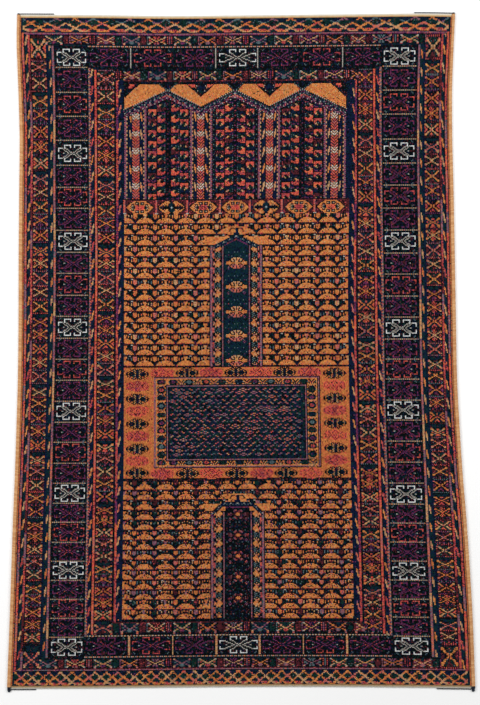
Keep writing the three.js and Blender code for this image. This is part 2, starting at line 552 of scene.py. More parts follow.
@dataclass
class HookedCross:
    """The box motif of the main border: two crossed diagonals with brackets and curled hooks.

    x runs across the rug and y down it, whichever border the box is in.
    """

    pen: Pen
    middle_x: float
    middle_y: float
    half_width: float
    half_height: float
    wool: Wool
    hook: int = 8

    def draw(self) -> None:
        """Draws brackets, diagonals, hooks, dots and corner dashes on the dark ground."""
        x, y = math.floor(self.middle_x) + 0.5, math.floor(self.middle_y) + 0.5
        reach = math.floor(self.half_width - 2.0)
        rise = 5 if self.half_height > 9.9 else 4
        top = min(8, whole(self.half_height - 1.9))
        dot = 9 if self.half_width < 18 else 12
        corner = whole(self.half_height - 2.6)
        thin = Wool.CREAM if self.wool == Wool.WHITE else Wool.PURPLE
        strokes = (
            (reach - 4, rise, 4, 0, thin),
            (self.hook - 1, top - 3, 0, 0, thin),
            (reach, 2, reach, rise, self.wool),
            (reach, rise, reach - 3, rise, self.wool),
            (self.hook, top - 3, self.hook, top, self.wool),
            (self.hook, top, 2, top, self.wool),
            (2, top - 2, 2, top, self.wool),
        )
        for side in (-1, 1):
            for end in (-1, 1):
                self.pen.knot(x + side * (reach - 1), y + end * corner, Wool.SLATE)
                self.pen.knot(x + side * (reach - 2), y + end * (corner + 1), Wool.SLATE)
                for x0, y0, x1, y1, wool in strokes:
                    self.pen.line(x + side * x0, y + end * y0, x + side * x1, y + end * y1, wool)
            self.pen.knot(x + side * dot, y, Wool.CREAM)
            self.pen.knot(x + side * (dot - 1), y, Wool.SLATE)


# Rows where the groups of four boxes begin in the two side borders, and the boxes before each
BOX_ROWS_LEFT = (29.8, 49.8, 147.3, 234.3, 320.3, 404.3, 485.8, 562.3, 619.3, 639.3)
BOX_ROWS_RIGHT = (29.8, 49.8, 146.1, 236.2, 322.0, 403.8, 487.5, 563.9, 619.3, 639.3)
BOX_COUNTS = (0, 1, 5, 9, 13, 17, 21, 25, 28, 29)
# The wools of the boxes between the white corner boxes, four to a group
BOX_WOOLS = "ucuw"


@dataclass
class SideBorders:
    """Everything between one side edge of the pile and the field, drawn inwards from the edge."""

    chart: Chart
    side: int

    def spread(self, pitch: float) -> list[float]:
        """Spaces repeats along a side as its boxes are spaced, closer where the weaving is closer.

        Args:
            pitch: The repeats' spacing, in boxes.

        Returns:
            The rows of the repeats' edges.
        """
        rows = BOX_ROWS_LEFT if self.side < 0 else BOX_ROWS_RIGHT
        count = round(BOX_COUNTS[-1] / pitch)
        return [float(row) for row in np.interp(np.linspace(0, BOX_COUNTS[-1], count + 1), BOX_COUNTS, rows)]

    def draw(self) -> None:
        """Draws the bands of one side from the outside in."""
        right = self.side > 0
        pen = Pen(self.chart, column=KNOTS_ACROSS * right, column_way=-self.side)
        pen.fill(0, 0, 3, KNOTS_DOWN, Wool.TEAL)
        pen.fill(0, 0, 1, KNOTS_DOWN, Wool.AMBER)
        self.draw_strand(pen, (2, 4), (15, 654), "spco", 3)
        FlameLine(pen, 5, 8, 17, 652, 18.6, 0.45 * right).draw()
        self.draw_strand(pen, (8, 10), (17, 652), "cmoc", 5)
        crosses = [row for row in self.spread(2 / 3) if 34 < row < 636]
        draw_crosses(pen, 11, 26, [18, *crosses, 652], 2 * right)
        pen.fill(26, 28, 29, 640, Wool.NAVY)
        FlameLine(pen, 28, 32, 28, 640, 18.2, 0.3 + 0.5 * right, Wool.TEAL, "tatg").draw()
        self.draw_strand(pen, (32, 34), (28, 640), "opot", 2)
        self.draw_boxes(pen)
        pen.dots(68, 50, 619, "otol")
        pen.dots(69, 50, 619, "oks")
        FlameLine(pen, 70, 73, 51, 618, 17.4, 0.1 + 0.5 * right, Wool.NAVY, "tcg").draw()
        self.draw_strand(pen, (74, 76), (52, 617), "scsp", 7)
        crosses = [row for row in self.spread(0.615) if 62 < row < 606]
        draw_crosses(pen, 77, 93, [52, *crosses, 616], 1 + 3 * right)
        pen.fill(93, 62, 95, 605, Wool.BLACK)
        self.draw_strand(pen, (95, 97), (62, 605), "cusc", 4)
        FlameLine(pen, 97, 100, 62, 603, 16.6, 0.5, Wool.NAVY, "gtp").draw()
        pen.fill(100, 62, 103, 603, Wool.NAVY)

    def draw_strand(
        self, pen: Pen, across: tuple[int, int], rows: tuple[int, int], letters: str, seed: int
    ) -> None:
        """Draws a plain line whose dye changes from stretch to stretch.

        Args:
            pen: The side's pen.
            across: The line's two edges.
            rows: Its first and last rows.
            letters: The wools it runs through.
            seed: The seed of the stretches' lengths.
        """
        draw = np.random.default_rng(seed * 10 + self.side + 1)
        row, index = rows[0], 0
        while row < rows[1]:
            after = row + draw.integers(12, 40)
            pen.fill(across[0], row, across[1], min(after, rows[1]), nth(letters, index))
            row, index = after, index + 1

    def draw_boxes(self, pen: Pen) -> None:
        """Draws the boxes of one side with their hooked crosses, white in the corners."""
        pen.fill(34, 28, 68, 641, Wool.BLACK)
        edges = self.spread(1)
        for index, (start, end) in enumerate(pairwise(edges)):
            corner = index in (0, len(edges) - 2)
            pen.fill(35, start + 1, 67, end, Wool.BLACK)
            if index > 0:
                for x in range(35, 67):
                    pen.knot(x, start, nth("lt", x + index))
            wool = Wool.WHITE if corner else nth(BOX_WOOLS, index - 1)
            HookedCross(pen, 51, (start + end) / 2, 16.4, (end - start) / 2, wool).draw()


@dataclass
class EndBorders:
    """The bands of one end, between the end of the pile and the field, drawn inwards."""

    chart: Chart
    end: int

    def draw(self) -> None:
        """Draws the bands of one end."""
        top = self.end > 0
        pen = Pen(self.chart, row=0 if top else KNOTS_DOWN, row_way=self.end, turned=True)
        self.draw_lattice(top)
        self.draw_lines(pen, ((14.6, 16, 3, Wool.MAUVE), (16, 17, 6, Wool.PURPLE if top else Wool.MAROON)))
        draw_end_crosses(self.chart, (17, 27) if top else (641, 651), 26, 15, 0 if top else 3)
        self.draw_lines(pen, ((27, 29, 28, Wool.TEAL),))
        self.draw_boxes(pen, top)
        draw_end_crosses(self.chart, (51.5, 62) if top else (605, 616.5), 77, 11, 1 if top else 2)
        lines = (50.6, 51.5, 68, Wool.BLACK), (62, 63, 94, Wool.MAROON), (63, 65, 96, Wool.BLACK)
        self.draw_lines(pen, lines)

    def draw_lines(self, pen: Pen, lines: Sequence[tuple[float, float, float, Wool]]) -> None:
        """Draws plain lines along the end, each given by its edges, its margin and its wool."""
        for start, end, margin, wool in lines:
            pen.fill(start, margin, end, KNOTS_ACROSS - margin, wool)

    def draw_boxes(self, pen: Pen, top: bool) -> None:
        """Draws the seven boxes of an end, between the corner boxes.

        Args:
            pen: The end's pen.
            top: Whether this is the upper end.
        """
        across = Pen(self.chart)
        edges = np.linspace(67.5, KNOTS_ACROSS - 67.5, 8)
        upper, lower = (30.0, 49.6) if top else (618.8, 638.0)
        pen.dots(28.8, 34, KNOTS_ACROSS - 34, "tkip")
        pen.dots(49.4, 66, KNOTS_ACROSS - 66, "itk")
        for index, (start, end) in enumerate(pairwise(edges)):
            across.fill(start, upper, end, lower, Wool.BLACK)
            middle, half = (upper + lower) / 2, (lower - upper) / 2
            HookedCross(across, (start + end) / 2, middle, 20.0, half, nth(BOX_WOOLS, index)).draw()
        for place in edges:
            across.fill(place - 0.8, upper, place + 0.8 - top, lower, Wool.CREAM if top else Wool.TAN)

    def draw_lattice(self, top: bool) -> None:
        """Draws the outermost band, crossing diagonals over dark lozenges, red along one edge.

        Args:
            top: Whether this is the upper end.
        """
        first, height = (0 if top else 654), 14
        pitch, rise = (17.8, 9.2) if top else (10.6, 9.4)
        spacing = 1 / math.hypot(1 / pitch, 1 / rise)
        uneven = np.random.default_rng(9).random((height, KNOTS_ACROSS)) * 0.8 - 0.4
        for row, column in product(range(height), range(3, KNOTS_ACROSS - 3)):
            down = row + 0.5
            along = (column + 0.5 - KNOTS_ACROSS / 2) / pitch
            falling, rising = along - (down - 0.9) / rise, along + (down - 0.9) / rise
            off = min(abs(falling - whole(falling)), abs(rising - whole(rising))) * spacing
            off += uneven[row, column]
            crossing = whole(falling) * 2 + whole(rising) * 3
            letters, index = "nekvnmek", math.floor(falling) * 5 + math.floor(rising) * 3
            if off < (0.6 if down < 5 else 0.9):
                letters, index = "lvoa" if top and down < 5.2 else "gtgatp", crossing
            elif down > height - 3.4 and off < 3.2 and math.floor(falling * 2) % 2 == 0:
                letters, index = "cpsmc", crossing
            Pen(self.chart).knot(column, first + row, nth(letters, index))


# The field: its edges, its middle line, its half width, and the rows of its panels
FIELD_LEFT, FIELD_RIGHT = 103, 329
FIELD_MIDDLE = KNOTS_ACROSS / 2
FIELD_HALF = 113
ARCH_ROWS = (64.0, 182.0)
CARTOUCHE_ROWS = (182.0, 196.4)
UPPER_SCALE_ROWS = (196.4, 349.4)
CENTRE_ROWS = (349.4, 462.3)
LOWER_SCALE_ROWS = (462.3, 602.0)


def field_pens(chart: Chart, middle: float = FIELD_MIDDLE) -> tuple[Pen, Pen]:
    """Returns the two pens that draw outwards from a line down the field, right and left."""
    return Pen(chart, column=middle), Pen(chart, column=middle, column_way=-1)


# The stepped triangles of the arch panel's bays, r the changing red and d the changing dark
OUTER_TRIANGLE = """
rrrrrrrrk
rrrrrrrrk
rrrkkrrrk
rrkkvkrlk
rrtvvkktk
kttvvkklk
nkktvkknn
nnnkkknnd
dnnnnnndd
kdddkkddk
kkkkkkkkk
""".split()
INNER_TRIANGLE = """
lkvvvkkkk
kkvvttvkk
lvkkkttrk
kkvkkrrrk
rrkkrrrrk
rrrrrrrrk
krrrrrrrk
kkkrrrrrk
nnnkkkkkk
dnnnnnnnk
ddddkkddk
""".split()
# The thin lines of the gables: how far under the gold's edge, and a round of wools
GABLE_LINES = (
    (0.2, "ki"), (1.4, "e"), (2.4, "uvv"), (3.6, "llnn"),
    (4.6, "innnn"), (5.8, "uuuunnn"), (6.8, "oookkk"), (8.0, "iuuu"),
)


@dataclass
class ArchPanel:
    """The three arches at the top of the field, with columns of stepped triangles in their bays."""

    chart: Chart
    middle: float = 214.0
    apexes: tuple[float, float] = (0.0, 67.6)
    valley: float = 34.4
    flat_row: float = 65.8
    apex_row: float = 71.1
    valley_row: float = 88.2
    end_row: float = 91.1
    edge: float = 110.6
    bay_top: float = 80.1
    bay_bottom: float = 181.0
    triangle_pitch: float = 10.65

    def notch(self, x: float) -> float:
        """Returns the distance to the nearest apex."""
        return min(abs(x - apex) for apex in self.apexes)

    def lower_edge(self, x: float) -> float:
        """Returns the row of the gold band's lower edge at a distance from the middle line."""
        rows = (self.apex_row, self.valley_row, self.apex_row, self.end_row, self.end_row)
        return float(np.interp(x, (0.0, self.valley, self.apexes[1], self.edge, FIELD_HALF), rows))

    def upper_edge(self, x: float) -> float:
        """Returns the row of the gold band's upper edge, cut by notches and by the frame."""
        apex_cut, valley_cut = (9.0 - self.notch(x)) / 1.14, (14.4 - abs(x - self.valley)) / 1.09
        return self.flat_row + max(0.0, apex_cut, valley_cut, 0.91 * (15.1 - self.edge + x))

    def draw(self) -> None:
        """Draws the bays, then the gable bands and the gold over them."""
        top, bottom = ARCH_ROWS
        Pen(self.chart).fill(FIELD_LEFT, top, FIELD_RIGHT, bottom, Wool.NAVY)
        for index, pen in enumerate(field_pens(self.chart, self.middle)):
            self.draw_bays(pen, index)
            self.draw_gables(pen)
            self.draw_valley(pen)
        Pen(self.chart).fill(FIELD_LEFT, bottom - 1.2, FIELD_RIGHT, bottom, Wool.BLACK)

    def draw_bays(self, pen: Pen, half: int) -> None:
        """Draws the columns of one half, from the middle line out.

        Args:
            pen: The half's pen.
            half: 0 for the right half, 1 for the left.
        """
        top, bottom = self.bay_top, self.bay_bottom
        pen.fill(0, top, 110, bottom, Wool.BLACK)
        for x, outer in ((2, False), (11, True), (47, True), (56, False), (70, False), (79, True)):
            self.draw_triangles(pen, x, outer, x + half * 2)
        for centre in (34.3, 99.7):
            for way in (-1, 1):
                line = math.floor(centre + way * 9.6)
                pen.fill(line, top, line + 1, bottom, Wool.MAUVE)
                pen.fill(line - way, top, line - way + 1, bottom, Wool.NAVY)
                for y in range(whole(top), whole(bottom)):
                    pen.knot(line + way, y, nth("ou", y))
                    pen.knot(line - way, y, nth("ttnn", y))
                inner = centre + way * 5.6
                FlameLine(pen, inner - 1.8, inner + 1.6, top, bottom, 17.5, 0.25, Wool.NAVY, "tgt").draw()
            self.draw_cross_column(pen, centre)
        for y in range(whole(top), whole(bottom), 5):
            for x, down, letter in ((67, 0, "u"), (0, 2, "u"), (21, 1, "l"), (45, 3, "l")):
                pen.knot(x, y + down, LETTERS[letter])

    def draw_triangles(self, pen: Pen, x: int, outer: bool, index: int) -> None:
        """Draws one column of stepped triangles, whose reds and darks take turns.

        Args:
            pen: The half's pen.
            x: The column's edge nearest the middle line.
            outer: Whether it is a column that faces outwards.
            index: Where the wools' turn begins.
        """
        drawing, pitch = OUTER_TRIANGLE if outer else INNER_TRIANGLE, self.triangle_pitch
        y = self.bay_top - (0.0 if outer else pitch / 2)
        while y < self.bay_bottom:
            key = LETTERS | {"r": nth("scsmc", index), "d": nth("nuv", index)}
            for row in range(max(whole(y), math.ceil(self.bay_top)), whole(min(y + pitch, self.bay_bottom))):
                line = drawing[min(int((row - y) / pitch * len(drawing) + 0.5), len(drawing) - 1)]
                for over, letter in enumerate(line):
                    pen.knot(x + over, row, key[letter])
            y, index = y + pitch, index + 1

    def draw_cross_column(self, pen: Pen, centre: float) -> None:
        """Draws the column of small crosses that parts two bays.

        Args:
            pen: The half's pen.
            centre: Its middle, from the field's middle line.
        """
        for y in range(whole(self.bay_top), whole(self.bay_bottom)):
            letters = ("sck", "pck")[y // 6 % 2]
            if (y - self.bay_top + 3) % 17.5 < 5.5:
                letters = ("wtm", "itm")[y % 2]
            for x in range(whole(centre - 3.4), whole(centre + 3.4)):
                pen.knot(x, y, nth(letters, y + whole(abs(x + 0.5 - centre))))

    def draw_gables(self, pen: Pen) -> None:
        """Draws the gable bands over the bays, the gold above them and the dark notches between.

        Args:
            pen: The half's pen.
        """
        for column in range(whole(self.edge) + 1):
            x = column + 0.5
            edge, upper, notch = self.lower_edge(x), self.upper_edge(x), self.notch(x)
            pen.fill(column, ARCH_ROWS[0], column + 1, edge + 9, Wool.BLACK)
            for depth, letters in GABLE_LINES:
                pen.knot(column, edge + depth, nth(letters, column))
            if x < self.edge and notch > 2.3:
                pen.fill(column, upper, column + 1, edge - 0.2, Wool.GOLD)
            if notch < 9:
                pen.knot(column, upper - 1.2, nth("el", column))
        row = self.apex_row + 7.5
        for apex, way in product(self.apexes, (-1, 1)):
            pen.line(apex + way * 4 + 0.5, row, apex + 0.5, row - 2, Wool.PINK)
            pen.line(apex + way * 7 + 0.5, row + 2, apex + way * 4 + 0.5, row, Wool.CRIMSON)

    def draw_valley(self, pen: Pen) -> None:
        """Draws the dark figure over a valley, with white dots and a red leaf at each upper corner.

        Args:
            pen: The half's pen.
        """
        centre = self.valley
        for way in (-1, 1):
            for step in range(3):
                x, half = centre + way * (9.2 - step * 0.7), 3.2 - step * 0.6
                pen.fill(x - half, 66.4 + step, x + half, 67.4 + step, Wool.SCARLET)
            for out, row, wool in ((5, 67, Wool.CREAM), (6, 69, Wool.TAN), (4, 72, Wool.CREAM)):
                pen.fill(centre + way * out, row, centre + way * (out - 1), row + 1, wool)
        for half, upper, lower, letter in ((2.4, 67, 72, "n"), (3.5, 68.4, 71, "n"), (1.2, 72, 75, "v")):
            pen.fill(centre - half, upper, centre + half, lower, LETTERS[letter])
        pen.fill(101, 66, 106, 68, Wool.SCARLET)
        pen.fill(103, 68, 107, 70, Wool.CRIMSON)


# The flowers, lozenges and cartouches, each as its upper left quarter
FLOWER = """
.......asrrr
...ssrrsrsmr
.ssrmssrrmrs
ssrsrmrsmrrm
rmsrsrmrsrrr
rsrsmsrrsrmc
""".split()
DARK_LOZENGE = """
.......kkk.k
.....kkvgkkn
...kkggkktkn
.kkgvkkvgkkn
kkgkkknkvtkn
kkkkkkkkkkkn
""".split()
FLOWER_CARTOUCHE = """
mmmmmmmkggggggg
mmmmmkkgggkkkkg
mmmkkgggggktlkg
mmkkggkkkgkkkkg
mkkgggktkggrrrr
kkgggktlvkrrrmr
kgggggkvkkrrrrr
""".split()
CROSS_CARTOUCHE = """
mmmmmmmkggggkkk
mmmmmkkggggggke
mmmkkgggggggkee
mmkkgggkgggkeee
mkkggkktkggkkee
kkgkkkkkkkkkkel
kkkkkkkkkkkkklw
""".split()


@dataclass
class CartoucheBand:
    """The row of seven eight-sided cartouches under the arches, each with a flower or a cross."""

    chart: Chart
    parts: tuple[float, ...] = (103, 134.9, 166.4, 199.0, 229.8, 261.8, 294.8, 327)

    def draw(self) -> None:
        """Draws the band's lines, its cartouches and what stands in them."""
        pen = Pen(self.chart)
        top, bottom = CARTOUCHE_ROWS
        pen.fill(FIELD_LEFT, top, FIELD_RIGHT, bottom, Wool.MAROON)
        pen.fill(FIELD_LEFT, bottom - 1.2, FIELD_RIGHT, bottom, Wool.PURPLE)
        for index, (start, end) in enumerate(pairwise(self.parts)):
            drawing = CROSS_CARTOUCHE if index in (1, 4) else FLOWER_CARTOUCHE
            pen.quarters(drawing, (start + end) / 2, top + 7, {"r": nth("scc", index)})
            for line, wool in enumerate(wools("cpn")):
                pen.fill(start - 1.4 + line, top, start - 0.4 + line, bottom, wool)
            pen.fill(start - 1.4, bottom - 1, start + 1.6, bottom, Wool.CREAM)


# One dome of the scale pattern, from the row above it to the line that it stands on; t is the
# bud over a stem, q the dome's tip and y the light gaps between the hooks
SCALE_CELL = """
kmkkvkkkmkkmkkkvkkmk
ttkkkkkkgqqgkkkkkktt
ttkykkykgqqgkykkyktt
ttkykkykkqqkkykkyktt
ttkykkkkkqqkkkkkyktt
tkkkkkggggggggkkkkkt
kkkkggggggggggggkkkk
kkkggggggggggggggkkk
nkggggggggggggggggkn
naggasggaggaggsagaan
kmkkmmkkmkkkmmkkmkkm
""".split()


@dataclass
class ScaleField:
    """A field of flat domes in rows, like scales, with a forked stem between each two."""

    chart: Chart
    top: float
    bottom: float
    first_base: float
    pitch_down: float
    seed: int
    dullness: float
    buds: str = "gaapt"
    tips: str = "ggpat"
    stripes: str = "ggtvla"
    pitch_across: float = 20.4
    cells: tuple[int, int] = (24, 16)

    def draw(self) -> None:
        """Draws the whole field; the middle line of the field is a stem."""
        high, wide = len(SCALE_CELL), len(SCALE_CELL[0])
        draw = np.random.default_rng(self.seed)
        rounds = (self.buds, self.tips, self.stripes)
        buds, tips, stripes = (draw.choice(wools(letters), self.cells) for letters in rounds)
        dulls = draw.choice(wools("vakmo"), self.chart.knots.shape)
        dull = draw.random(self.chart.knots.shape) < self.dullness
        for row in range(whole(self.top), whole(self.bottom)):
            turn = (row + 0.5 - self.first_base) / self.pitch_down
            line = SCALE_CELL[min(int((turn % 1) * high), high - 1)]
            rank = math.floor(turn) + 1
            for column in range(FIELD_LEFT, FIELD_RIGHT):
                across = (column + 0.5 - FIELD_MIDDLE) / self.pitch_across
                letter = line[min(int((across % 1) * wide), wide - 1)]
                cell, bud = math.floor(across) + 7, math.floor(across + 0.5) + 7
                changing = {
                    "g": dulls[row, column] if dull[row, column] else Wool.GOLD,
                    "t": buds[rank, bud],
                    "q": tips[rank, cell],
                    "y": stripes[rank, cell],
                }
                self.chart.knots[row, column] = changing.get(letter, LETTERS.get(letter))
        self.draw_dots()

    def draw_dots(self) -> None:
        """Ties the white dots that stand just under the lines, about three to two domes."""
        row, index = self.first_base, 0
        while row < self.bottom - 3:
            for column in np.arange(108.0 + index % 2 * 2, 326, 30.6):
                Pen(self.chart).fill(column, row + 0.2, column + 2, row + 1.2, Wool.CREAM)
            row, index = row + self.pitch_down, index + 1


# The left half of the upper niche's medallion, and of the lower one's; r is the changing red
MEDALLION = """
......ktttk
....kttkttk
...kkttkktk
kkkgkkttktg
gggggkkkktg
aaggggaggtg
gggggkkkktg
kkkrkkrrkrr
...krrkkrrk
....krrkrrk
......krrrk
""".split()
THIN_MEDALLION = """
..........k
......kotkk
.....kotkmk
...kkkkrkrk
rrrokkkkkga
krrrrmkmgaa
rrrokkkkkga
...kkkkrkrk
.....kotkmk
......kotkk
..........k
""".split()
# The strip beside a niche's column, one repeat, from the column outwards
NICHE_STRIP = """
kktgkkkkk
kgggakkpk
ggggaktpk
gggtgattk
kggttgkpk
kktgaakkk
kvtkktvkk
klkvvklcc
kvllkkvcc
klvkvklcc
kvlklvkcc
klkvkklcc
kkvtkvkck
ktkkktkkk
kktpptkkk
""".split()


@dataclass
class Niche:
    """A tall dark niche with a gabled top, a hooked finial and a line of medallions."""

    chart: Chart
    finial_row: float
    apex_row: float
    gable_row: float
    bottom: float
    medallion_rows: tuple[float, ...]
    gable_half: float
    flat_half: float
    medallion: Sequence[str]
    medallion_wools: dict[str, Wool]
    column_wool: Wool
    column_half: int = 12

    def draw(self) -> None:
        """Draws both halves outwards from the middle line, then the finial and the medallions."""
        for pen in field_pens(self.chart):
            self.draw_half(pen)
            self.draw_finial(pen)
        middle = Pen(self.chart)
        for row in self.medallion_rows:
            middle.stamp(mirrored(self.medallion), FIELD_MIDDLE - 10, whole(row) - 5, self.medallion_wools)
            for way in (-1, 1):
                for over, down, wool in ((0, 5, Wool.MAUVE), (1, 6, Wool.PURPLE), (-1, 6, Wool.PURPLE),
                                         (0, 7, Wool.MAUVE), (0, -7, Wool.PURPLE)):
                    middle.knot(FIELD_MIDDLE + way * 8 + over, row + down, wool)

    def draw_half(self, pen: Pen) -> None:
        """Draws the column, the strip beside it and the gable of one half.

        Args:
            pen: The half's pen.
        """
        top = self.gable_row + 1
        pen.fill(0, self.apex_row + 2, 32, self.gable_row, Wool.GOLD)
        pen.fill(0, self.gable_row, 32, top, Wool.BLACK)
        pen.fill(self.column_half, top, 27, self.bottom, Wool.BLACK)
        pen.fill(13, top, 14, self.bottom, Wool.MAUVE)
        pen.fill(24.4, top, 25.6, self.bottom, Wool.MAUVE)
        y = top
        while y < self.bottom - 1:
            pen.stamp(NICHE_STRIP[:min(len(NICHE_STRIP), whole(self.bottom - y))], 15, y)
            y += len(NICHE_STRIP)
        for column in range(whole(self.gable_half) + 1):
            fall = max(0.0, column + 0.5 - self.flat_half) / (self.gable_half - self.flat_half)
            roof = self.apex_row + (self.gable_row - self.apex_row) * fall
            foot = self.bottom if column < self.column_half else roof + 4.5
            pen.fill(column, roof - 0.6, column + 1, foot, self.column_wool)
            for depth, letters in ((1.4, "innnnn"), (2.4, "nln"), (3.4, "n")):
                pen.knot(column, roof + depth, nth(letters, column))
            if column < self.column_half:
                pen.knot(column, roof + 5, Wool.PURPLE)
        for y in range(whole(top) + 2, whole(self.bottom) - 1, 4):
            for x in range(1 + (y // 4 % 2) * 3, self.column_half, 6):
                pen.knot(x, y, nth("nll", x + y))

    def draw_finial(self, pen: Pen) -> None:
        """Draws half of the stem on the roof, with the hook that curls out from it.

        Args:
            pen: The half's pen.
        """
        top = self.finial_row
        pen.fill(0, top - 1, 9, self.apex_row, Wool.GOLD)
        pen.fill(0, top, 1.5, self.apex_row, Wool.NAVY)
        pen.fill(0, self.apex_row - 2, 3, self.apex_row, Wool.NAVY)
        for x0, y0, x1, y1 in ((1, 1, 4, 0), (4, 0, 6, 1), (5, 1, 7, 3), (6, 3, 6, 3)):
            pen.line(x0, top + y0, x1, top + y1, Wool.BLACK)


# The marks of the trellis: a small open lozenge, and short strokes that slant either way
TRELLIS_FLOWER = ("..oro..", "rokkkor", "..oro..")
TRELLIS_DASHES = (("..ro", "or.."), ("or..", "..ro"))
# A bud of the inner border as its upper left quarter, h its changing heart, and what parts the buds
BUD = ("..kkk", ".kkvv", "kkvhh", "lkhhk")
SIDE_BAR = ("tktatktak", "kakvkpkak")
END_BAR = ("kkgggkk", "gkkgkvg", "ggkvkgk", "kkgugkk", "tktktkt")


@dataclass
class CentrePanel:
    """The panel in the middle of the field: a gold frame of flowers round a dark trellis."""

    chart: Chart
    frame_across: float = 29.5
    frame_down: float = 10.0
    step_across: float = 7.45
    step_down: float = 3.6
    trellis_seed: int = 5

    def draw(self) -> None:
        """Draws the gold frame with its motifs, the inner border and the trellis."""
        pen = Pen(self.chart)
        top, bottom = CENTRE_ROWS
        pen.fill(FIELD_LEFT, top, FIELD_RIGHT, bottom, Wool.BLACK)
        pen.fill(FIELD_LEFT, top + 1, FIELD_RIGHT, bottom - 1, Wool.AMBER)
        self.draw_frame(pen, top, bottom)
        left, right = FIELD_LEFT + self.frame_across, FIELD_RIGHT - self.frame_across
        upper, lower = top + self.frame_down, bottom - self.frame_down - 1.6
        self.draw_inner_border(pen, left, right, upper, lower)
        self.draw_trellis(pen, left + 15.4, right - 15.4, upper + 9.4, lower - 8.6)

    def draw_frame(self, pen: Pen, top: float, bottom: float) -> None:
        """Draws the lozenges and flowers of the gold frame.

        Args:
            pen: The chart's pen.
            top: The frame's first row.
            bottom: Its last row.
        """
        columns = np.linspace(116.6, 314.4, 9)
        rows = np.linspace(top + 7.0, bottom - 6.4, 9)
        places = [(columns[-side], row, index, side) for index, row in enumerate(rows) for side in (0, 1)]
        for index, column in enumerate(columns[1:-1], 1):
            places += [(column, top + 5.6, index, 1), (column, bottom - 6.2, index, 2)]
        for column, row, index, turn in places:
            if index % 2:
                pen.quarters(FLOWER, column, row, {"r": nth("cs", index // 2 + turn)})
            else:
                pen.quarters(DARK_LOZENGE, column, row)

    def draw_inner_border(self, pen: Pen, left: float, right: float, upper: float, lower: float) -> None:
        """Draws the narrow border of buds between two double lines.

        Args:
            pen: The chart's pen.
            left: Its outer left edge.
            right: Its outer right edge.
            upper: Its outer upper edge.
            lower: Its outer lower edge.
        """
        for across, down, wool in zip((0, 0.8, 2, 2.8), (0, 0.6, 1.4, 2), wools("kokg")):
            pen.fill(left + across, upper + down, right - across, lower - down, wool)
        hearts = "ulcvn"
        for index, row in enumerate(np.arange(upper + 5.4, lower - 4.0, 8.05)):
            for side, column in enumerate((left + 7.6, right - 7.6)):
                pen.quarters(BUD if index % 2 else BUD[1:], column, row, {"h": nth(hearts, index * 2 + side)})
                pen.stamp(SIDE_BAR, column - 4, row + 4)
        for index, column in enumerate(np.arange(left + 20, right - 14, 16.4)):
            for row in (upper + 5.4, lower - 5.2):
                pen.quarters(BUD[1:], column, row, {"h": nth(hearts, index)})
                pen.stamp(END_BAR, column + 5, row - 2)

    def draw_trellis(self, pen: Pen, left: float, right: float, upper: float, lower: float) -> None:
        """Draws the trellis of small lozenges on the dark ground of the panel.

        Args:
            pen: The chart's pen.
            left: Its left edge.
            right: Its right edge.
            upper: Its first row.
            lower: Its last row.
        """
        for across, wool in zip((3, 2, 1), wools("kok")):
            pen.fill(left - across, upper - across + 1, right + across, lower + across - 1, wool)
        draw = np.random.default_rng(self.trellis_seed)
        grounds = draw.choice(wools("evkn"), (64, 80))
        for row, column in product(range(whole(upper), whole(lower)), range(whole(left), whole(right))):
            pen.knot(column, row, grounds[row % 64 // 2, column % 160 // 2])
        for rank in range(1, int((lower - upper) / self.step_down)):
            row = upper + rank * self.step_down
            for file in range(int((right - left) / self.step_across)):
                column = left + 3.5 + (file + rank % 2 / 2) * self.step_across
                if column > right - 4:
                    continue
                wool, chance = draw.choice(wools("pocotoppsla")), draw.random()
                drawing = TRELLIS_FLOWER if chance < 0.16 else TRELLIS_DASHES[int(chance * 50) % 2]
                pen.stamp(drawing, column - len(drawing[0]) // 2, row - 1, {"r": wool})


# For each wool, how often a near wool stands in for it
SPECKLES = {
    "g": {"a": 0.22, "t": 0.07, "s": 0.03, "v": 0.02},
    "n": {"k": 0.22, "e": 0.20, "u": 0.01},
    "k": {"n": 0.12, "e": 0.06, "v": 0.05, "m": 0.07},
    "e": {"n": 0.18, "v": 0.12, "k": 0.14},
    "v": {"e": 0.20, "k": 0.24, "m": 0.05, "l": 0.03},
    "c": {"m": 0.14, "s": 0.18, "p": 0.06, "u": 0.03},
    "s": {"c": 0.14, "a": 0.10, "p": 0.04, "m": 0.06},
    "m": {"k": 0.16, "c": 0.08},
    "o": {"u": 0.12, "p": 0.08, "l": 0.10},
    "p": {"a": 0.12, "s": 0.12, "o": 0.10},
    "u": {"m": 0.14, "c": 0.08, "n": 0.10},
    "t": {"g": 0.14, "p": 0.08, "o": 0.05},
    "a": {"g": 0.12, "s": 0.08, "m": 0.03},
}
SPECKLE_SEED = 17


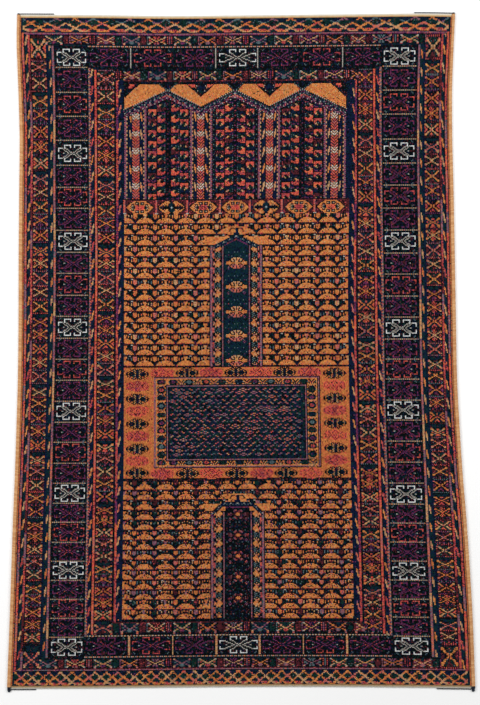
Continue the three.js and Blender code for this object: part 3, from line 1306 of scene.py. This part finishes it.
class RugPattern:
    """The whole pattern of the rug, borders first and the field after them."""

    def draw(self) -> Chart:
        """Draws the chart.

        Returns:
            The finished chart.
        """
        chart = Chart()
        for end in (1, -1):
            EndBorders(chart, end).draw()
        for side in (-1, 1):
            SideBorders(chart, side).draw()
        ArchPanel(chart).draw()
        CartoucheBand(chart).draw()
        ScaleField(chart, *UPPER_SCALE_ROWS, 205.8, 11.0, 3, 0.06).draw()
        ScaleField(chart, *LOWER_SCALE_ROWS, 472.8, 9.98, 4, 0.23, "aovpm", "amkao").draw()
        Niche(
            chart, 210.2, 216.6, 227.4, UPPER_SCALE_ROWS[1], (244.6, 269.2, 293.8, 318.4, 343.0), 21.4, 0.0,
            MEDALLION, {"r": Wool.PINK}, Wool.TEAL,
        ).draw()
        Niche(
            chart, 478.0, 485.4, 493.8, LOWER_SCALE_ROWS[1], (496.6, 517.8, 539.0, 560.2, 581.4), 23.6, 14.5,
            THIN_MEDALLION, {"r": Wool.MAROON, "t": Wool.CRIMSON}, Wool.BLACK,
        ).draw()
        CentrePanel(chart).draw()
        Pen(chart).fill(FIELD_LEFT, 602, FIELD_RIGHT, 604, Wool.BLACK)
        chart.speckle(SPECKLES, SPECKLE_SEED)
        return chart


# How much of a screen colour's light the wools keep under this scene's light
DYE_DEPTH = 0.73


def dye(colour: tuple[int, int, int]) -> Colour:
    """Turns screen red, green and blue out of 255 into a shader's linear colour.

    Args:
        colour: The screen colour.

    Returns:
        Linear red, green, blue and alpha.
    """
    shares = [channel / 255 for channel in colour]
    linear = [share / 12.92 if share <= 0.04045 else ((share + 0.055) / 1.055) ** 2.4 for share in shares]
    return *(light * DYE_DEPTH for light in linear), 1.0


Socket = bpy.types.NodeSocket


class Shading:
    """A material's node tree, with short calls that add its nodes and join them."""

    def __init__(self, name: str) -> None:
        """Starts the material with its shader and output.

        Args:
            name: The material's name.
        """
        self.material = bpy.data.materials.new(name)
        self.material.use_nodes = True
        self.tree = self.material.node_tree
        self.shader = next(node for node in self.tree.nodes if node.type == "BSDF_PRINCIPLED")

    def join(self, node: bpy.types.Node, inputs: dict[int | str, Socket | float]) -> None:
        """Links each socket among the values to its input of a node, and sets the plain numbers.

        Args:
            node: The node.
            inputs: The values, each under its input's name or number.
        """
        for key, value in inputs.items():
            if isinstance(value, bpy.types.NodeSocket):
                self.tree.links.new(value, node.inputs[key])
            else:
                node.inputs[key].default_value = value

    def node(self, kind: str, inputs: dict[int | str, Socket | float], **settings: str) -> bpy.types.Node:
        """Adds a node.

        Args:
            kind: The end of its type's name.
            inputs: The values of its inputs.
            **settings: Its settings.

        Returns:
            The node.
        """
        node = self.tree.nodes.new(f"ShaderNode{kind}")
        for name, value in settings.items():
            setattr(node, name, value)
        self.join(node, inputs)
        return node

    def calc(self, operation: str, *values: Socket | float) -> Socket:
        """Returns the result of a Math node."""
        return self.node("Math", dict(enumerate(values)), operation=operation).outputs[0]

    def times(self, product_so_far: Socket | float, *factors: Socket | float) -> Socket:
        """Returns the product of its values, multiplied in turn."""
        for factor in factors:
            product_so_far = self.calc("MULTIPLY", product_so_far, factor)
        return product_so_far

    def spread(self, value: Socket, low: float, high: float) -> Socket:
        """Spreads a value from 0 to 1 over a range."""
        return self.calc("MULTIPLY_ADD", value, high - low, low)

    def hump(self, value: Socket) -> Socket:
        """Returns a hump from 0 to 1 and back over each whole step of a value."""
        return self.calc("SINE", self.times(self.calc("FRACT", value), math.pi))

    def split(self, vector: Socket) -> list[Socket]:
        """Returns the three parts of a vector."""
        return list(self.node("SeparateXYZ", {0: vector}).outputs)

    def vector(self, *parts: Socket | float) -> Socket:
        """Returns a vector of up to three values."""
        return self.node("CombineXYZ", dict(enumerate(parts))).outputs[0]

    def uv(self, name: str) -> Socket:
        """Returns a UV map of the piece."""
        return self.node("UVMap", {}, uv_map=name).outputs[0]

    def place(self) -> Socket:
        """Returns the place on the piece, in metres."""
        return self.node("TexCoord", {}).outputs["Object"]

    def attribute(self, name: str) -> Socket:
        """Returns a number that each face of the piece holds."""
        return self.node("Attribute", {}, attribute_name=name).outputs["Fac"]

    def noise(self, vector: Socket, scale: float, detail: float = 2.0) -> Socket:
        """Returns smooth noise from 0 to 1."""
        return self.node("TexNoise", {"Vector": vector, "Scale": scale, "Detail": detail}).outputs["Fac"]

    def grain(self, vector: Socket) -> Socket:
        """Returns a number from 0 to 1 that is random for each whole step of a vector."""
        return self.node("TexWhiteNoise", {"Vector": vector}, noise_dimensions="3D").outputs["Value"]

    def ramp(self, value: Socket, stops: Sequence[tuple[float, Colour]], steps: bool = False) -> Socket:
        """Adds a colour ramp.

        Args:
            value: What it reads.
            stops: Places from 0 to 1 and their colours.
            steps: Whether the colours change at once rather than blend.

        Returns:
            The ramp's colour.
        """
        node = self.node("ValToRGB", {0: value})
        node.color_ramp.interpolation = "CONSTANT" if steps else "LINEAR"
        elements = node.color_ramp.elements
        elements.remove(elements[-1])
        elements[0].position, elements[0].color = stops[0]
        for position, colour in stops[1:]:
            elements.new(position).color = colour
        return node.outputs[0]

    def tint(self, colour: Socket, hue: Socket | float, saturation: float, value: Socket) -> Socket:
        """Shifts a colour's hue, saturation and value."""
        inputs = {"Hue": hue, "Saturation": saturation, "Value": value, "Color": colour}
        return self.node("HueSaturation", inputs).outputs[0]

    def blend(self, share: Socket, first: Socket | Colour, second: Socket) -> Socket:
        """Blends two colours by a share."""
        node = self.node("Mix", {}, data_type="RGBA")
        self.join(node, {"Factor": share, "A": first, "B": second})
        return next(socket for socket in node.outputs if socket.type == "RGBA")

    def bump(self, height: Socket, distance: float) -> None:
        """Raises the surface by a height from 0 to 1, over a distance in metres."""
        node = self.node("Bump", {"Strength": 1.0, "Distance": distance, "Height": height})
        self.join(self.shader, {"Normal": node.outputs[0]})

    def finish(self, colour: Socket, roughness: float, sheen: float) -> bpy.types.Material:
        """Joins the colour and sets the gloss.

        Args:
            colour: The base colour.
            roughness: The roughness all over.
            sheen: The wool's sheen all over.

        Returns:
            The material.
        """
        self.join(self.shader, {"Base Color": colour, "Roughness": roughness, "Specular IOR Level": 0.025})
        self.join(self.shader, {"Sheen Weight": sheen, "Sheen Roughness": 0.5})
        return self.material


@dataclass(frozen=True)
class KnottedWool:
    """The pile, or its back: the knots' wools from the faces, with dye and wear over them, and on the back
    painted shade in the grooves between the weft ridges.
    """

    name: str
    back: bool = False
    lot_range: tuple[float, float] = (0.72, 1.28)
    band_range: tuple[float, float] = (0.84, 1.16)
    wear_range: tuple[float, float] = (0.86, 1.14)
    fibre_range: tuple[float, float] = (0.80, 1.20)
    hue_range: tuple[float, float] = (0.488, 0.512)

    def wool_colour(self, shading: Shading, columns: Socket, rows: Socket) -> Socket:
        """Reads the wool of the knot out of the four numbers that its face holds.

        Args:
            shading: The material's nodes.
            columns: The place across the face's block, in knots.
            rows: The place down it, in knots.

        Returns:
            The wool's colour.
        """
        places = [shading.calc("FLOOR", place) for place in (columns, rows)]
        column, row = (shading.calc("MINIMUM", place, BLOCK - 1) for place in places)
        packed: Socket | float = 0.5
        for index in range(BLOCK):
            chosen = shading.calc("COMPARE", row, index, 0.1)
            packed = shading.calc("MULTIPLY_ADD", chosen, shading.attribute(f"wools_{index}"), packed)
        shifted = shading.calc("DIVIDE", packed, shading.calc("POWER", WOOLS, column))
        wool = shading.calc("MODULO", shading.calc("FLOOR", shifted), WOOLS)
        stops = [(wool.value / WOOLS, dye(DYES[wool])) for wool in Wool]
        return shading.ramp(shading.calc("DIVIDE", shading.calc("ADD", wool, 0.5), WOOLS), stops, steps=True)

    def make(self) -> bpy.types.Material:
        """Builds the material.

        Returns:
            The material.
        """
        shading = Shading(self.name)
        across, down, _ = shading.split(shading.uv("block"))
        columns, rows = shading.times(across, BLOCK), shading.times(down, BLOCK)
        colour = self.wool_colour(shading, columns, rows)
        across, down, _ = shading.split(shading.uv("chart"))
        knot_x = shading.calc("FLOOR", shading.times(across, KNOTS_ACROSS))
        knot_y = shading.calc("FLOOR", shading.times(down, KNOTS_DOWN))
        lot = shading.grain(shading.vector(knot_x, knot_y))
        other_lot = shading.grain(shading.vector(knot_y, knot_x, 7.0))
        bands = shading.noise(shading.vector(shading.times(across, 0.8), shading.times(down, 60.0)), 1.0, 3.0)
        fibre = shading.noise(shading.place(), 900.0)
        light = shading.times(
            shading.spread(lot, *self.lot_range),
            shading.spread(bands, *self.band_range),
            shading.spread(shading.noise(shading.place(), 3.2, 4.0), *self.wear_range),
            shading.spread(fibre, *self.fibre_range),
        )
        hue = shading.spread(other_lot, *self.hue_range)
        height_x, height_y = shading.hump(columns), shading.hump(rows)
        if self.back:
            weft = shading.calc("POWER", height_y, 0.4)
            # Painted shade: the back's colour darkens to 0.45 in the grooves between the weft ridges,
            # following the same height as the bump
            light = shading.times(light, shading.spread(weft, 0.45, 1.0))
            shading.bump(shading.times(weft, shading.calc("POWER", height_x, 0.5)), 0.5 * MM)
            return shading.finish(shading.tint(colour, hue, 0.9, light), 0.85, 0.1)
        tuft = shading.times(*(shading.calc("POWER", height, 0.6) for height in (height_x, height_y)))
        shading.bump(shading.calc("ADD", shading.times(tuft, 0.7), fibre), 0.7 * MM)
        return shading.finish(shading.tint(colour, hue, 0.94, light), 0.9, 0.03)


@dataclass(frozen=True)
class WovenWeb:
    """The flat-woven strip past each end of the pile, tan by the pile and cream at its edge, with painted
    shade and highlight that follow the bumps of its weave.
    """

    name: str = "woven_web"
    ragged_share: float = 0.0022
    tans: tuple[tuple[float, tuple[int, int, int]], ...] = (
        (0.0, (150, 92, 50)), (0.18, (222, 166, 100)), (0.5, (242, 214, 168)), (0.8, (250, 244, 230)),
    )

    def make(self) -> bpy.types.Material:
        """Builds the material.

        Returns:
            The material.
        """
        shading = Shading(self.name)
        across, down, _ = shading.split(shading.uv("chart"))
        past = shading.calc("SUBTRACT", shading.calc("ABSOLUTE", shading.calc("SUBTRACT", down, 0.5)), 0.5)
        ragged = shading.noise(shading.vector(shading.times(across, 90.0)), 1.0, 3.0)
        inner = shading.calc("SUBTRACT", past, self.ragged_share / 2)
        reach = shading.calc("MULTIPLY_ADD", ragged, self.ragged_share, inner)
        share = shading.calc("DIVIDE", reach, WEB_LENGTH / PILE_LENGTH)
        colour = shading.ramp(share, [(at, dye(tan)) for at, tan in self.tans])
        warps = shading.calc("SINE", shading.times(across, KNOTS_ACROSS * math.tau))
        wefts = shading.calc("SINE", shading.times(down, KNOTS_DOWN * 1.5 * math.tau))
        weave = shading.spread(shading.times(warps, wefts), 0.5, 1.0)
        shading.bump(weave, 0.4 * MM)
        # Painted shade and highlight: the colour's value follows the weave's height, 0.86 in its hollows and
        # 1.06 on its crossings
        return shading.finish(shading.tint(colour, 0.5, 1.0, shading.spread(weave, 0.86, 1.06)), 0.9, 0.1)


@dataclass(frozen=True)
class WrappedWool:
    """Wool yarn wound closely round a core, each turn a little lighter or darker, with painted shade in the
    grooves between turns.
    """

    name: str
    light: tuple[int, int, int]
    dark: tuple[int, int, int]
    # The painted shade in the grooves between turns, as screen red, green and blue
    groove: tuple[int, int, int]
    patch_scale: float = 9.0

    def make(self) -> bpy.types.Material:
        """Builds the material; the piece's wrap map says which turn a point is on.

        Returns:
            The material.
        """
        shading = Shading(self.name)
        along, around, _ = shading.split(shading.uv("wrap"))
        turn = shading.grain(shading.vector(shading.calc("FLOOR", along)))
        patches = shading.noise(shading.place(), self.patch_scale, 4.0)
        share = shading.calc("ADD", shading.times(turn, 0.5), shading.times(patches, 0.5))
        colour = shading.ramp(share, ((0.25, dye(self.dark)), (0.75, dye(self.light))))
        depth = shading.calc("POWER", shading.hump(along), 0.45)
        # Painted shade: the colour blends towards the groove colour where the winding dips between turns
        colour = shading.blend(shading.spread(depth, 0.15, 1.0), dye(self.groove), colour)
        fibre = shading.noise(shading.vector(shading.times(along, 6.0), shading.times(around, 30.0)), 1.0)
        colour = shading.tint(colour, 0.5, 1.0, shading.spread(fibre, 0.78, 1.22))
        shading.bump(shading.calc("ADD", depth, shading.times(fibre, 0.5)), 0.4 * MM)
        return shading.finish(colour, 0.88, 0.15)


@dataclass(frozen=True)
class PaleFloor:
    """The plain pale floor under the rug."""

    name: str = "pale_floor"
    dark: Colour = (0.82, 0.82, 0.82, 1.0)
    light: Colour = (0.85, 0.85, 0.845, 1.0)

    def make(self) -> bpy.types.Material:
        """Builds the material.

        Returns:
            The material.
        """
        shading = Shading(self.name)
        cloud = shading.noise(shading.place(), 2.0)
        return shading.finish(shading.ramp(cloud, ((0.0, self.dark), (1.0, self.light))), 0.9, 0.0)


def new_piece(
    name: str, points: list[Point], faces: list[list[int]], maps: dict[str, list[float]]
) -> bpy.types.Object:
    """Makes a smooth-shaded piece.

    Args:
        name: Its name.
        points: The mesh's points.
        faces: Each face's points, by number.
        maps: Its UV maps, each as one run of numbers.

    Returns:
        The piece.
    """
    mesh = bpy.data.meshes.new(name)
    mesh.from_pydata(points, [], faces)
    for label, values in maps.items():
        mesh.uv_layers.new(name=label).data.foreach_set("uv", values)
    mesh.polygons.foreach_set("use_smooth", [True] * len(faces))
    piece = bpy.data.objects.new(name, mesh)
    bpy.context.scene.collection.objects.link(piece)
    return piece


class Part(Enum):
    """Which of the cloth's finishes a face takes, in the order of the piece's materials."""

    PILE = 0
    BACK = 1
    WEB = 2


class ClothRow(NamedTuple):
    """A row of the cloth's lattice: its row on the chart and, on the web, its reach and height."""

    knots: float
    share: float
    reach: float = 0.0
    height: float | None = None


@dataclass
class RugCloth:
    """The rug's body as one cloth: pile, the web past both ends, and the flat knotted back."""

    chart: Chart
    edge_steps: tuple[float, ...] = (0.0, 0.5, 1.6)
    web_ease: float = 0.6 * MM
    swell: float = 0.35 * MM
    wall_lean: float = 0.12 * MM
    # The flat layout for the bake: both sides' margin and height, then where each side lies across
    layout_margin: float = 0.004
    layout_height: float = 0.992
    upper_width: float = 0.70
    back_start: float = 0.72
    back_width: float = 0.276

    def knot_lines(self, count: int) -> list[float]:
        """Returns the lattice's places in knots, closer together where the edge rounds off."""
        far_edge = [count - step for step in reversed(self.edge_steps)]
        return [*self.edge_steps, *range(BLOCK, count, BLOCK), *far_edge]

    def surface_height(self, x: float, y: float, edge: float) -> float:
        """Finds the pile's height, a little uneven and rounded off at its edges.

        Args:
            x: The place across.
            y: The place along.
            edge: The distance to the nearest edge of the pile.

        Returns:
            The height.
        """
        share = max(0.0, 1 - edge / EASE_WIDTH)
        swell = math.sin(x * 9.1 + 1.3 * math.sin(y * 5.3)) * math.sin(y * 7.7 + 1.1 * math.sin(x * 6.1))
        ripple = math.sin(x * 31 + y * 11) * math.sin(y * 27 - x * 7)
        dip = self.swell * (1.2 - 0.8 * swell - 0.3 * ripple)
        return PILE_HEIGHT - EDGE_DROP * share**2 - dip * (1 - share)

    def upper_row(self, row: ClothRow, columns: Sequence[float]) -> list[Point]:
        """Finds one row of the upper side; its outermost points are the feet of the side walls.

        Args:
            row: The row.
            columns: The lattice's columns on the chart.

        Returns:
            Its points.
        """
        points = []
        for column, x in zip(columns, np.interp(columns, GUIDE_COLUMNS, PLAN.columns(row.share)).tolist()):
            y = PLAN.lengthwise(x, row.share, row.reach)
            edge = min(column, KNOTS_ACROSS - column, row.knots, KNOTS_DOWN - row.knots)
            if not 0 <= column <= KNOTS_ACROSS:
                points.append((x + math.copysign(self.wall_lean, x), y, 0.0))
            elif row.height is None:
                points.append((x, y, self.surface_height(x, y, edge * (PILE_LENGTH / KNOTS_DOWN))))
            else:
                points.append((x, y, row.height))
        return points

    def make(self) -> bpy.types.Object:
        """Builds the cloth.

        Returns:
            The finished piece.
        """
        columns = [-1.0, *self.knot_lines(KNOTS_ACROSS), KNOTS_ACROSS + 1.0]
        web = ((WEB_LENGTH, 0.0), (WEB_LENGTH - self.web_ease, WEB_HEIGHT), (WEB_STEP, WEB_HEIGHT))
        rows = [ClothRow(-reach / PILE_LENGTH * KNOTS_DOWN, 0.0, reach, height) for reach, height in web]
        below = [ClothRow(KNOTS_DOWN - row.knots, 1.0, row.reach, row.height) for row in reversed(rows)]
        rows += [ClothRow(row, row / KNOTS_DOWN) for row in self.knot_lines(KNOTS_DOWN)] + below
        wide, high = len(columns), len(rows)
        points = [point for row in rows for point in self.upper_row(row, columns)]
        back = {}
        for row, column in product(range(high), range(wide)):
            back[row, column] = row * wide + column
            if 0 < row < high - 1 and 0 < column < wide - 1:
                back[row, column] = len(points)
                points.append((*points[row * wide + column][:2], 0.0))
        return self.weave(points, back, columns, rows)

    def weave(
        self,
        points: list[Point],
        back: dict[tuple[int, int], int],
        columns: list[float],
        rows: list[ClothRow],
    ) -> bpy.types.Object:
        """Joins the upper side and the back into one closed mesh and hands the faces their knots.

        Each face gets the four rows of its block of knots, each row as one number.

        Args:
            points: All points, the upper side's first.
            back: Each lattice place's point on the back.
            columns: The lattice's columns on the chart.
            rows: The lattice's rows.

        Returns:
            The piece.
        """
        blocks = self.chart.knots.reshape(KNOTS_DOWN // BLOCK, BLOCK, KNOTS_ACROSS // BLOCK, BLOCK)
        packed = (blocks * WOOLS ** np.arange(BLOCK)).sum(axis=3)
        faces, parts, held_knots = [], [], []
        maps: dict[str, list[float]] = {"block": [], "chart": [], "OFBake": []}
        lattice = product((Part.PILE, Part.BACK), range(len(rows) - 1), range(len(columns) - 1))
        for part, row, column in lattice:
            down = held((rows[row].knots + rows[row + 1].knots) / 2, 0.0, KNOTS_DOWN - 0.01) // BLOCK
            over = held((columns[column] + columns[column + 1]) / 2, 0.0, KNOTS_ACROSS - 0.01) // BLOCK
            held_knots.append(packed[int(down), :, int(over)])
            ring = [(row, column), (row + 1, column), (row + 1, column + 1), (row, column + 1)]
            if part is Part.BACK:
                ring = ring[:1] + ring[:0:-1]
                faces.append([back[place] for place in ring])
            else:
                faces.append([place[0] * len(columns) + place[1] for place in ring])
            outside = rows[row].knots < 0 or rows[row + 1].knots > KNOTS_DOWN
            parts.append((Part.WEB if outside else part).value)
            for at_row, at_column in ring:
                y, x = rows[at_row].knots, columns[at_column]
                maps["block"] += [held(x / BLOCK - over), held(y / BLOCK - down)]
                maps["chart"] += [x / KNOTS_ACROSS, y / KNOTS_DOWN]
                share = (x - columns[0]) / (columns[-1] - columns[0])
                flat_x = self.layout_margin + self.upper_width * share
                if part is Part.BACK:
                    flat_x = self.back_start + self.back_width * (1 - share)
                fall = (y - rows[0].knots) / (rows[-1].knots - rows[0].knots)
                maps["OFBake"] += [flat_x, self.layout_margin + self.layout_height * (1 - fall)]
        piece = new_piece("rug_cloth", points, faces, maps)
        for line in range(BLOCK):
            attribute = piece.data.attributes.new(f"wools_{line}", "FLOAT", "FACE")
            attribute.data.foreach_set("value", [float(knots[line]) for knots in held_knots])
        piece.data.polygons.foreach_set("material_index", parts)
        piece.data.validate()
        return piece


@dataclass
class WoundBand:
    """A two-lobed band of wound yarn: a selvedge, or the dark yarn wound round its end."""

    name: str
    side: int
    turn_pitch: float
    steps_a_turn: int
    ridge: float
    slant: float = 0.35
    section_sides: int = 24
    groove: float = 0.24
    groove_slope: float = 2.0
    flatness: float = 1.35
    flat_below: float = 0.05 * MM

    def section(self) -> list[Point]:
        """Finds the band's section, flat below, with a groove between its two cables.

        Returns:
            For each point: across and up, each from -1 to 1, and the angle round the section.
        """
        points = []
        for step in range(self.section_sides):
            angle = step / self.section_sides * math.tau
            across, up = math.cos(angle), math.sin(angle)
            groove = 1 - self.groove * (1 - min(1.0, abs(across) * self.groove_slope))
            points.append((across, max(-1.0, self.flatness * up) if up < 0 else up * groove, angle))
        return points

    def make(self, route: Callable[[float], Stretch], length: float) -> bpy.types.Object:
        """Builds the band along a route.

        Args:
            route: Takes a distance along the band and gives the pile edge's x, the y, the
                selvedge's width and how far the section is squeezed, 1 for not at all.
            length: The route's length.

        Returns:
            The finished piece.
        """
        rings = max(2, int(length / self.turn_pitch * self.steps_a_turn))
        points, turns = [], []
        for along in (length * ring / rings for ring in range(rings + 1)):
            edge_x, y, width, squeeze = route(along)
            half_width, half_height = width * squeeze / 2, SELVEDGE_HEIGHT * squeeze / 2
            middle = width / 2 + GAP
            for across, up, angle in self.section():
                turn = along / self.turn_pitch + self.slant * math.cos(angle)
                dip = self.ridge * (1 - abs(math.sin(math.pi * turn)) ** 0.6)
                low = half_height * (1 + up)
                z = low if low < self.flat_below else half_height + up * (half_height - dip)
                points.append((edge_x + self.side * (middle + across * (half_width - dip)), y, max(z, 0.0)))
                turns.append((turn, angle / math.tau))
        return self.skin(points, turns, rings)

    def skin(self, points: list[Point], turns: list[tuple[float, float]], rings: int) -> bpy.types.Object:
        """Skins the rings and closes both ends.

        Args:
            points: The rings' points in turn.
            turns: Each point's place in the winding.
            rings: How many spaces there are between rings.

        Returns:
            The piece.
        """
        size = self.section_sides
        faces, corners = [], []
        for ring, step in product(range(rings), range(size)):
            after = (step + 1) % size
            a, b = ring * size + step, ring * size + after
            faces.append([a, b, b + size, a + size])
            wrapped = turns[b][1] if after else 1.0
            corners += [turns[a], (turns[b][0], wrapped), (turns[b + size][0], wrapped)]
            corners.append((turns[a + size][0], turns[a][1]))
        first, last = range(size - 1, -1, -1), range(rings * size, (rings + 1) * size)
        for cap in (first, last):
            faces.append(list(cap))
            corners += [turns[index] for index in cap]
        wrap = [value for corner in corners for value in corner]
        piece = new_piece(self.name, points, faces, {"wrap": wrap})
        face_outwards(piece)
        return piece


def face_outwards(piece: bpy.types.Object) -> None:
    """Turns a closed piece's faces outwards.

    Args:
        piece: The piece.
    """
    bpy.ops.object.select_all(action="DESELECT")
    bpy.context.view_layer.objects.active = piece
    piece.select_set(True)
    bpy.ops.object.mode_set(mode="EDIT")
    bpy.ops.mesh.select_all(action="SELECT")
    bpy.ops.mesh.normals_make_consistent(inside=False)
    bpy.ops.object.mode_set(mode="OBJECT")
    piece.select_set(False)


class Corner(NamedTuple):
    """One corner's dark yarn: which corner, the wound length and the run along the web."""

    name: str
    side: int
    end: int
    wound: float
    run: float

    @property
    def share(self) -> float:
        """Returns the corner's share of the pile's length, 0 at the top end and 1 at the bottom."""
        return 0.0 if self.end > 0 else 1.0

    def reach(self) -> float:
        """Returns how far past the pile's end the selvedge runs before its dark winding."""
        return WEB_LENGTH + WOUND_REACH[self.end] - self.wound - GAP


CORNERS = (
    Corner("top_left", -1, 1, 4 * MM, 84 * MM),
    Corner("top_right", 1, 1, 4 * MM, 94 * MM),
    Corner("bottom_left", -1, -1, 13 * MM, 62 * MM),
    Corner("bottom_right", 1, -1, 14 * MM, 86 * MM),
)
# How far past the web a wound corner reaches at each end, and its taper: share along, squeeze
WOUND_REACH = {1: 3.2 * MM, -1: 8 * MM}
WOUND_TAPER = ((0.0, 0.55, 0.85, 1.0), (0.94, 0.9, 0.72, 0.4))


@dataclass
class Selvedges:
    """The two side edges, overcast with tan wool round two cables."""

    # Light and dark tan, then the painted shade in the grooves between turns
    finish: WrappedWool = WrappedWool("overcast_wool", (244, 190, 134), (214, 152, 100), (120, 78, 52))
    turn_pitch: float = 3.1 * MM
    ridge: float = 0.34 * MM

    def make(self) -> None:
        """Builds both edges."""
        material = self.finish.make()
        for side, label in ((-1, "left"), (1, "right")):
            above, below = (corner.reach() for corner in CORNERS if corner.side == side)

            def route(along: float, side: int = side, above: float = above) -> Stretch:
                """Follows the edge of the pile from above its top end to below its bottom end.

                Args:
                    along: The distance from its upper end.
                    side: Which edge.
                    above: How much of it lies above the pile.

                Returns:
                    The place along the edge.
                """
                share = (along - above) / PILE_LENGTH
                edge, band = PLAN.side(side, held(share))
                reach = max(-share, share - 1, 0.0) * PILE_LENGTH
                return edge, PLAN.lengthwise(edge, held(share), reach), band, 1.0

            band = WoundBand(f"overcast_edge_{label}", side, self.turn_pitch, 4, self.ridge)
            piece = band.make(route, above + PILE_LENGTH + below)
            piece.data.materials.append(material)
            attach(piece, "root")
            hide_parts(f"selvedge_{label}")
            LOG.info("%s: %d faces", piece.name, len(piece.data.polygons))


@dataclass
class CornerYarns:
    """The dark yarn of the four corners: wound round each selvedge's end and run along the web."""

    # Light and dark navy, then the painted shade in the grooves between turns
    finish: WrappedWool = WrappedWool("dark_yarn", (44, 58, 74), (16, 24, 36), (8, 10, 16), 60.0)
    turn_pitch: float = 1.6 * MM
    ridge: float = 0.3 * MM
    ply_pitch: float = 6.0 * MM
    ply_steps: int = 8
    ply_sides: int = 12
    ply_waist: float = 0.72

    def make(self) -> None:
        """Builds the wound ends and the runs."""
        material = self.finish.make()
        for corner in CORNERS:
            for piece, node in (
                (self.wind(corner), f"corner_wrap_{corner.name}"),
                (self.run(corner), f"corner_run_{corner.name}"),
            ):
                piece.data.materials.append(material)
                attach(piece, "root")
                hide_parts(node)
                LOG.info("%s: %d faces", piece.name, len(piece.data.polygons))

    def wind(self, corner: Corner) -> bpy.types.Object:
        """Builds the yarn wound round a selvedge's end.

        Args:
            corner: Which corner.

        Returns:
            The piece.
        """

        def route(along: float) -> Stretch:
            """Runs outwards past the selvedge's end, narrowing to a blunt tip.

            Args:
                along: The distance from its start.

            Returns:
                The place along the edge.
            """
            edge, width = PLAN.side(corner.side, corner.share)
            squeeze = float(np.interp(along / corner.wound, *WOUND_TAPER))
            return edge, PLAN.lengthwise(edge, corner.share, corner.reach() + GAP + along), width, squeeze

        band = WoundBand(f"wound_yarn_{corner.name}", corner.side, self.turn_pitch, 6, self.ridge)
        return band.make(route, corner.wound)

    def run(self, corner: Corner) -> bpy.types.Object:
        """Builds the two-ply yarn that runs from a corner along the web's outer edge.

        Args:
            corner: Which corner.

        Returns:
            The piece.
        """
        start_x = PLAN.side(corner.side, corner.share)[0]
        steps = int(corner.run / self.ply_pitch * self.ply_steps)
        points, turns = [], []
        for along in (corner.run * step / steps for step in range(steps + 1)):
            x = start_x - corner.side * along
            y = PLAN.lengthwise(x, corner.share, WEB_LENGTH + GAP + CORD_RADIUS)
            twist = along / self.ply_pitch * math.pi
            for index in range(self.ply_sides):
                angle = index / self.ply_sides * math.tau
                lobe = self.ply_waist + (1 - self.ply_waist) * abs(math.cos(angle - twist))
                over, up = lobe * math.cos(angle), 1 + lobe * math.sin(angle)
                points.append((x, y + CORD_RADIUS * over, CORD_RADIUS * up))
                turns.append(((angle - twist) / math.pi, index / self.ply_sides))
        band = WoundBand(f"yarn_run_{corner.name}", corner.side, 1.0, 1, 0.0, section_sides=self.ply_sides)
        return band.skin(points, turns, steps)


@dataclass
class Studio:
    """The pale floor, the soft lights and the camera straight above the rug."""

    floor_size: float = 12.0
    floor_drop: float = 0.2 * MM
    world_strength: float = 0.42
    light_size: tuple[float, float] = (2.2, 1.8)
    camera_height: float = 4.0
    frame_height: float = 1.7625
    frame_centre: tuple[float, float] = (-0.0029, -0.0007)
    sensor: float = 24.0

    def make(self) -> None:
        """Builds the floor, the world, the lights and the camera."""
        self.lay_floor()
        scene = bpy.context.scene
        scene.view_settings.view_transform = "Standard"
        scene.world = bpy.data.worlds.new("studio")
        scene.world.use_nodes = True
        background = scene.world.node_tree.nodes["Background"]
        background.inputs["Color"].default_value = (1.0, 1.0, 1.0, 1.0)
        background.inputs["Strength"].default_value = self.world_strength
        self.hang_light("left_softbox", (-2.6, 0.6, 2.6), 88.0)
        self.hang_light("right_softbox", (2.6, 0.9, 2.6), 64.0)
        self.hang_light("far_softbox", (0.2, 3.0, 2.8), 42.0)
        self.place_camera()

    def lay_floor(self) -> None:
        """Lays the floor just under the rug."""
        bpy.ops.object.select_all(action="DESELECT")
        bpy.ops.mesh.primitive_plane_add(size=self.floor_size, location=(0, 0, -self.floor_drop))
        floor = bpy.context.active_object
        floor.name = "studio_floor"
        floor.data.materials.append(PaleFloor().make())

    def hang_light(self, name: str, place: Point, power: float) -> None:
        """Hangs a large soft light that looks at the rug.

        Args:
            name: Its name.
            place: Where it hangs.
            power: Its power in watts.
        """
        light = bpy.data.lights.new(name, "AREA")
        light.shape = "RECTANGLE"
        light.size, light.size_y = self.light_size
        light.energy = power
        holder = bpy.data.objects.new(name, light)
        holder.location = place
        pitch = math.atan2(math.hypot(place[0], place[1]), place[2])
        holder.rotation_euler = (pitch, 0.0, math.atan2(place[1], place[0]) + math.pi / 2)
        bpy.context.scene.collection.objects.link(holder)

    def place_camera(self) -> None:
        """Places the camera straight above, so that the frame holds what the photograph does."""
        camera = bpy.data.cameras.new("overhead_camera")
        camera.sensor_fit = "VERTICAL"
        camera.sensor_height = self.sensor
        camera.lens = self.sensor * (self.camera_height - PILE_HEIGHT) / self.frame_height
        holder = bpy.data.objects.new("overhead_camera", camera)
        holder.location = (*self.frame_centre, self.camera_height)
        bpy.context.scene.collection.objects.link(holder)
        bpy.context.scene.camera = holder


def main() -> None:
    """Builds the rug piece by piece and reports each."""
    logging.basicConfig(level=logging.INFO, format="%(name)s: %(message)s")
    chart = RugPattern().draw()
    LOG.info("chart drawn: %d by %d knots", KNOTS_ACROSS, KNOTS_DOWN)
    cloth = RugCloth(chart).make()
    for finish in (KnottedWool("knotted_pile"), KnottedWool("knotted_back", back=True), WovenWeb()):
        cloth.data.materials.append(finish.make())
    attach(cloth, "root")
    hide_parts("rug_body")
    LOG.info("%s: %d faces", cloth.name, len(cloth.data.polygons))
    Selvedges().make()
    CornerYarns().make()
    Studio().make()


if __name__ == "__main__":
    main()
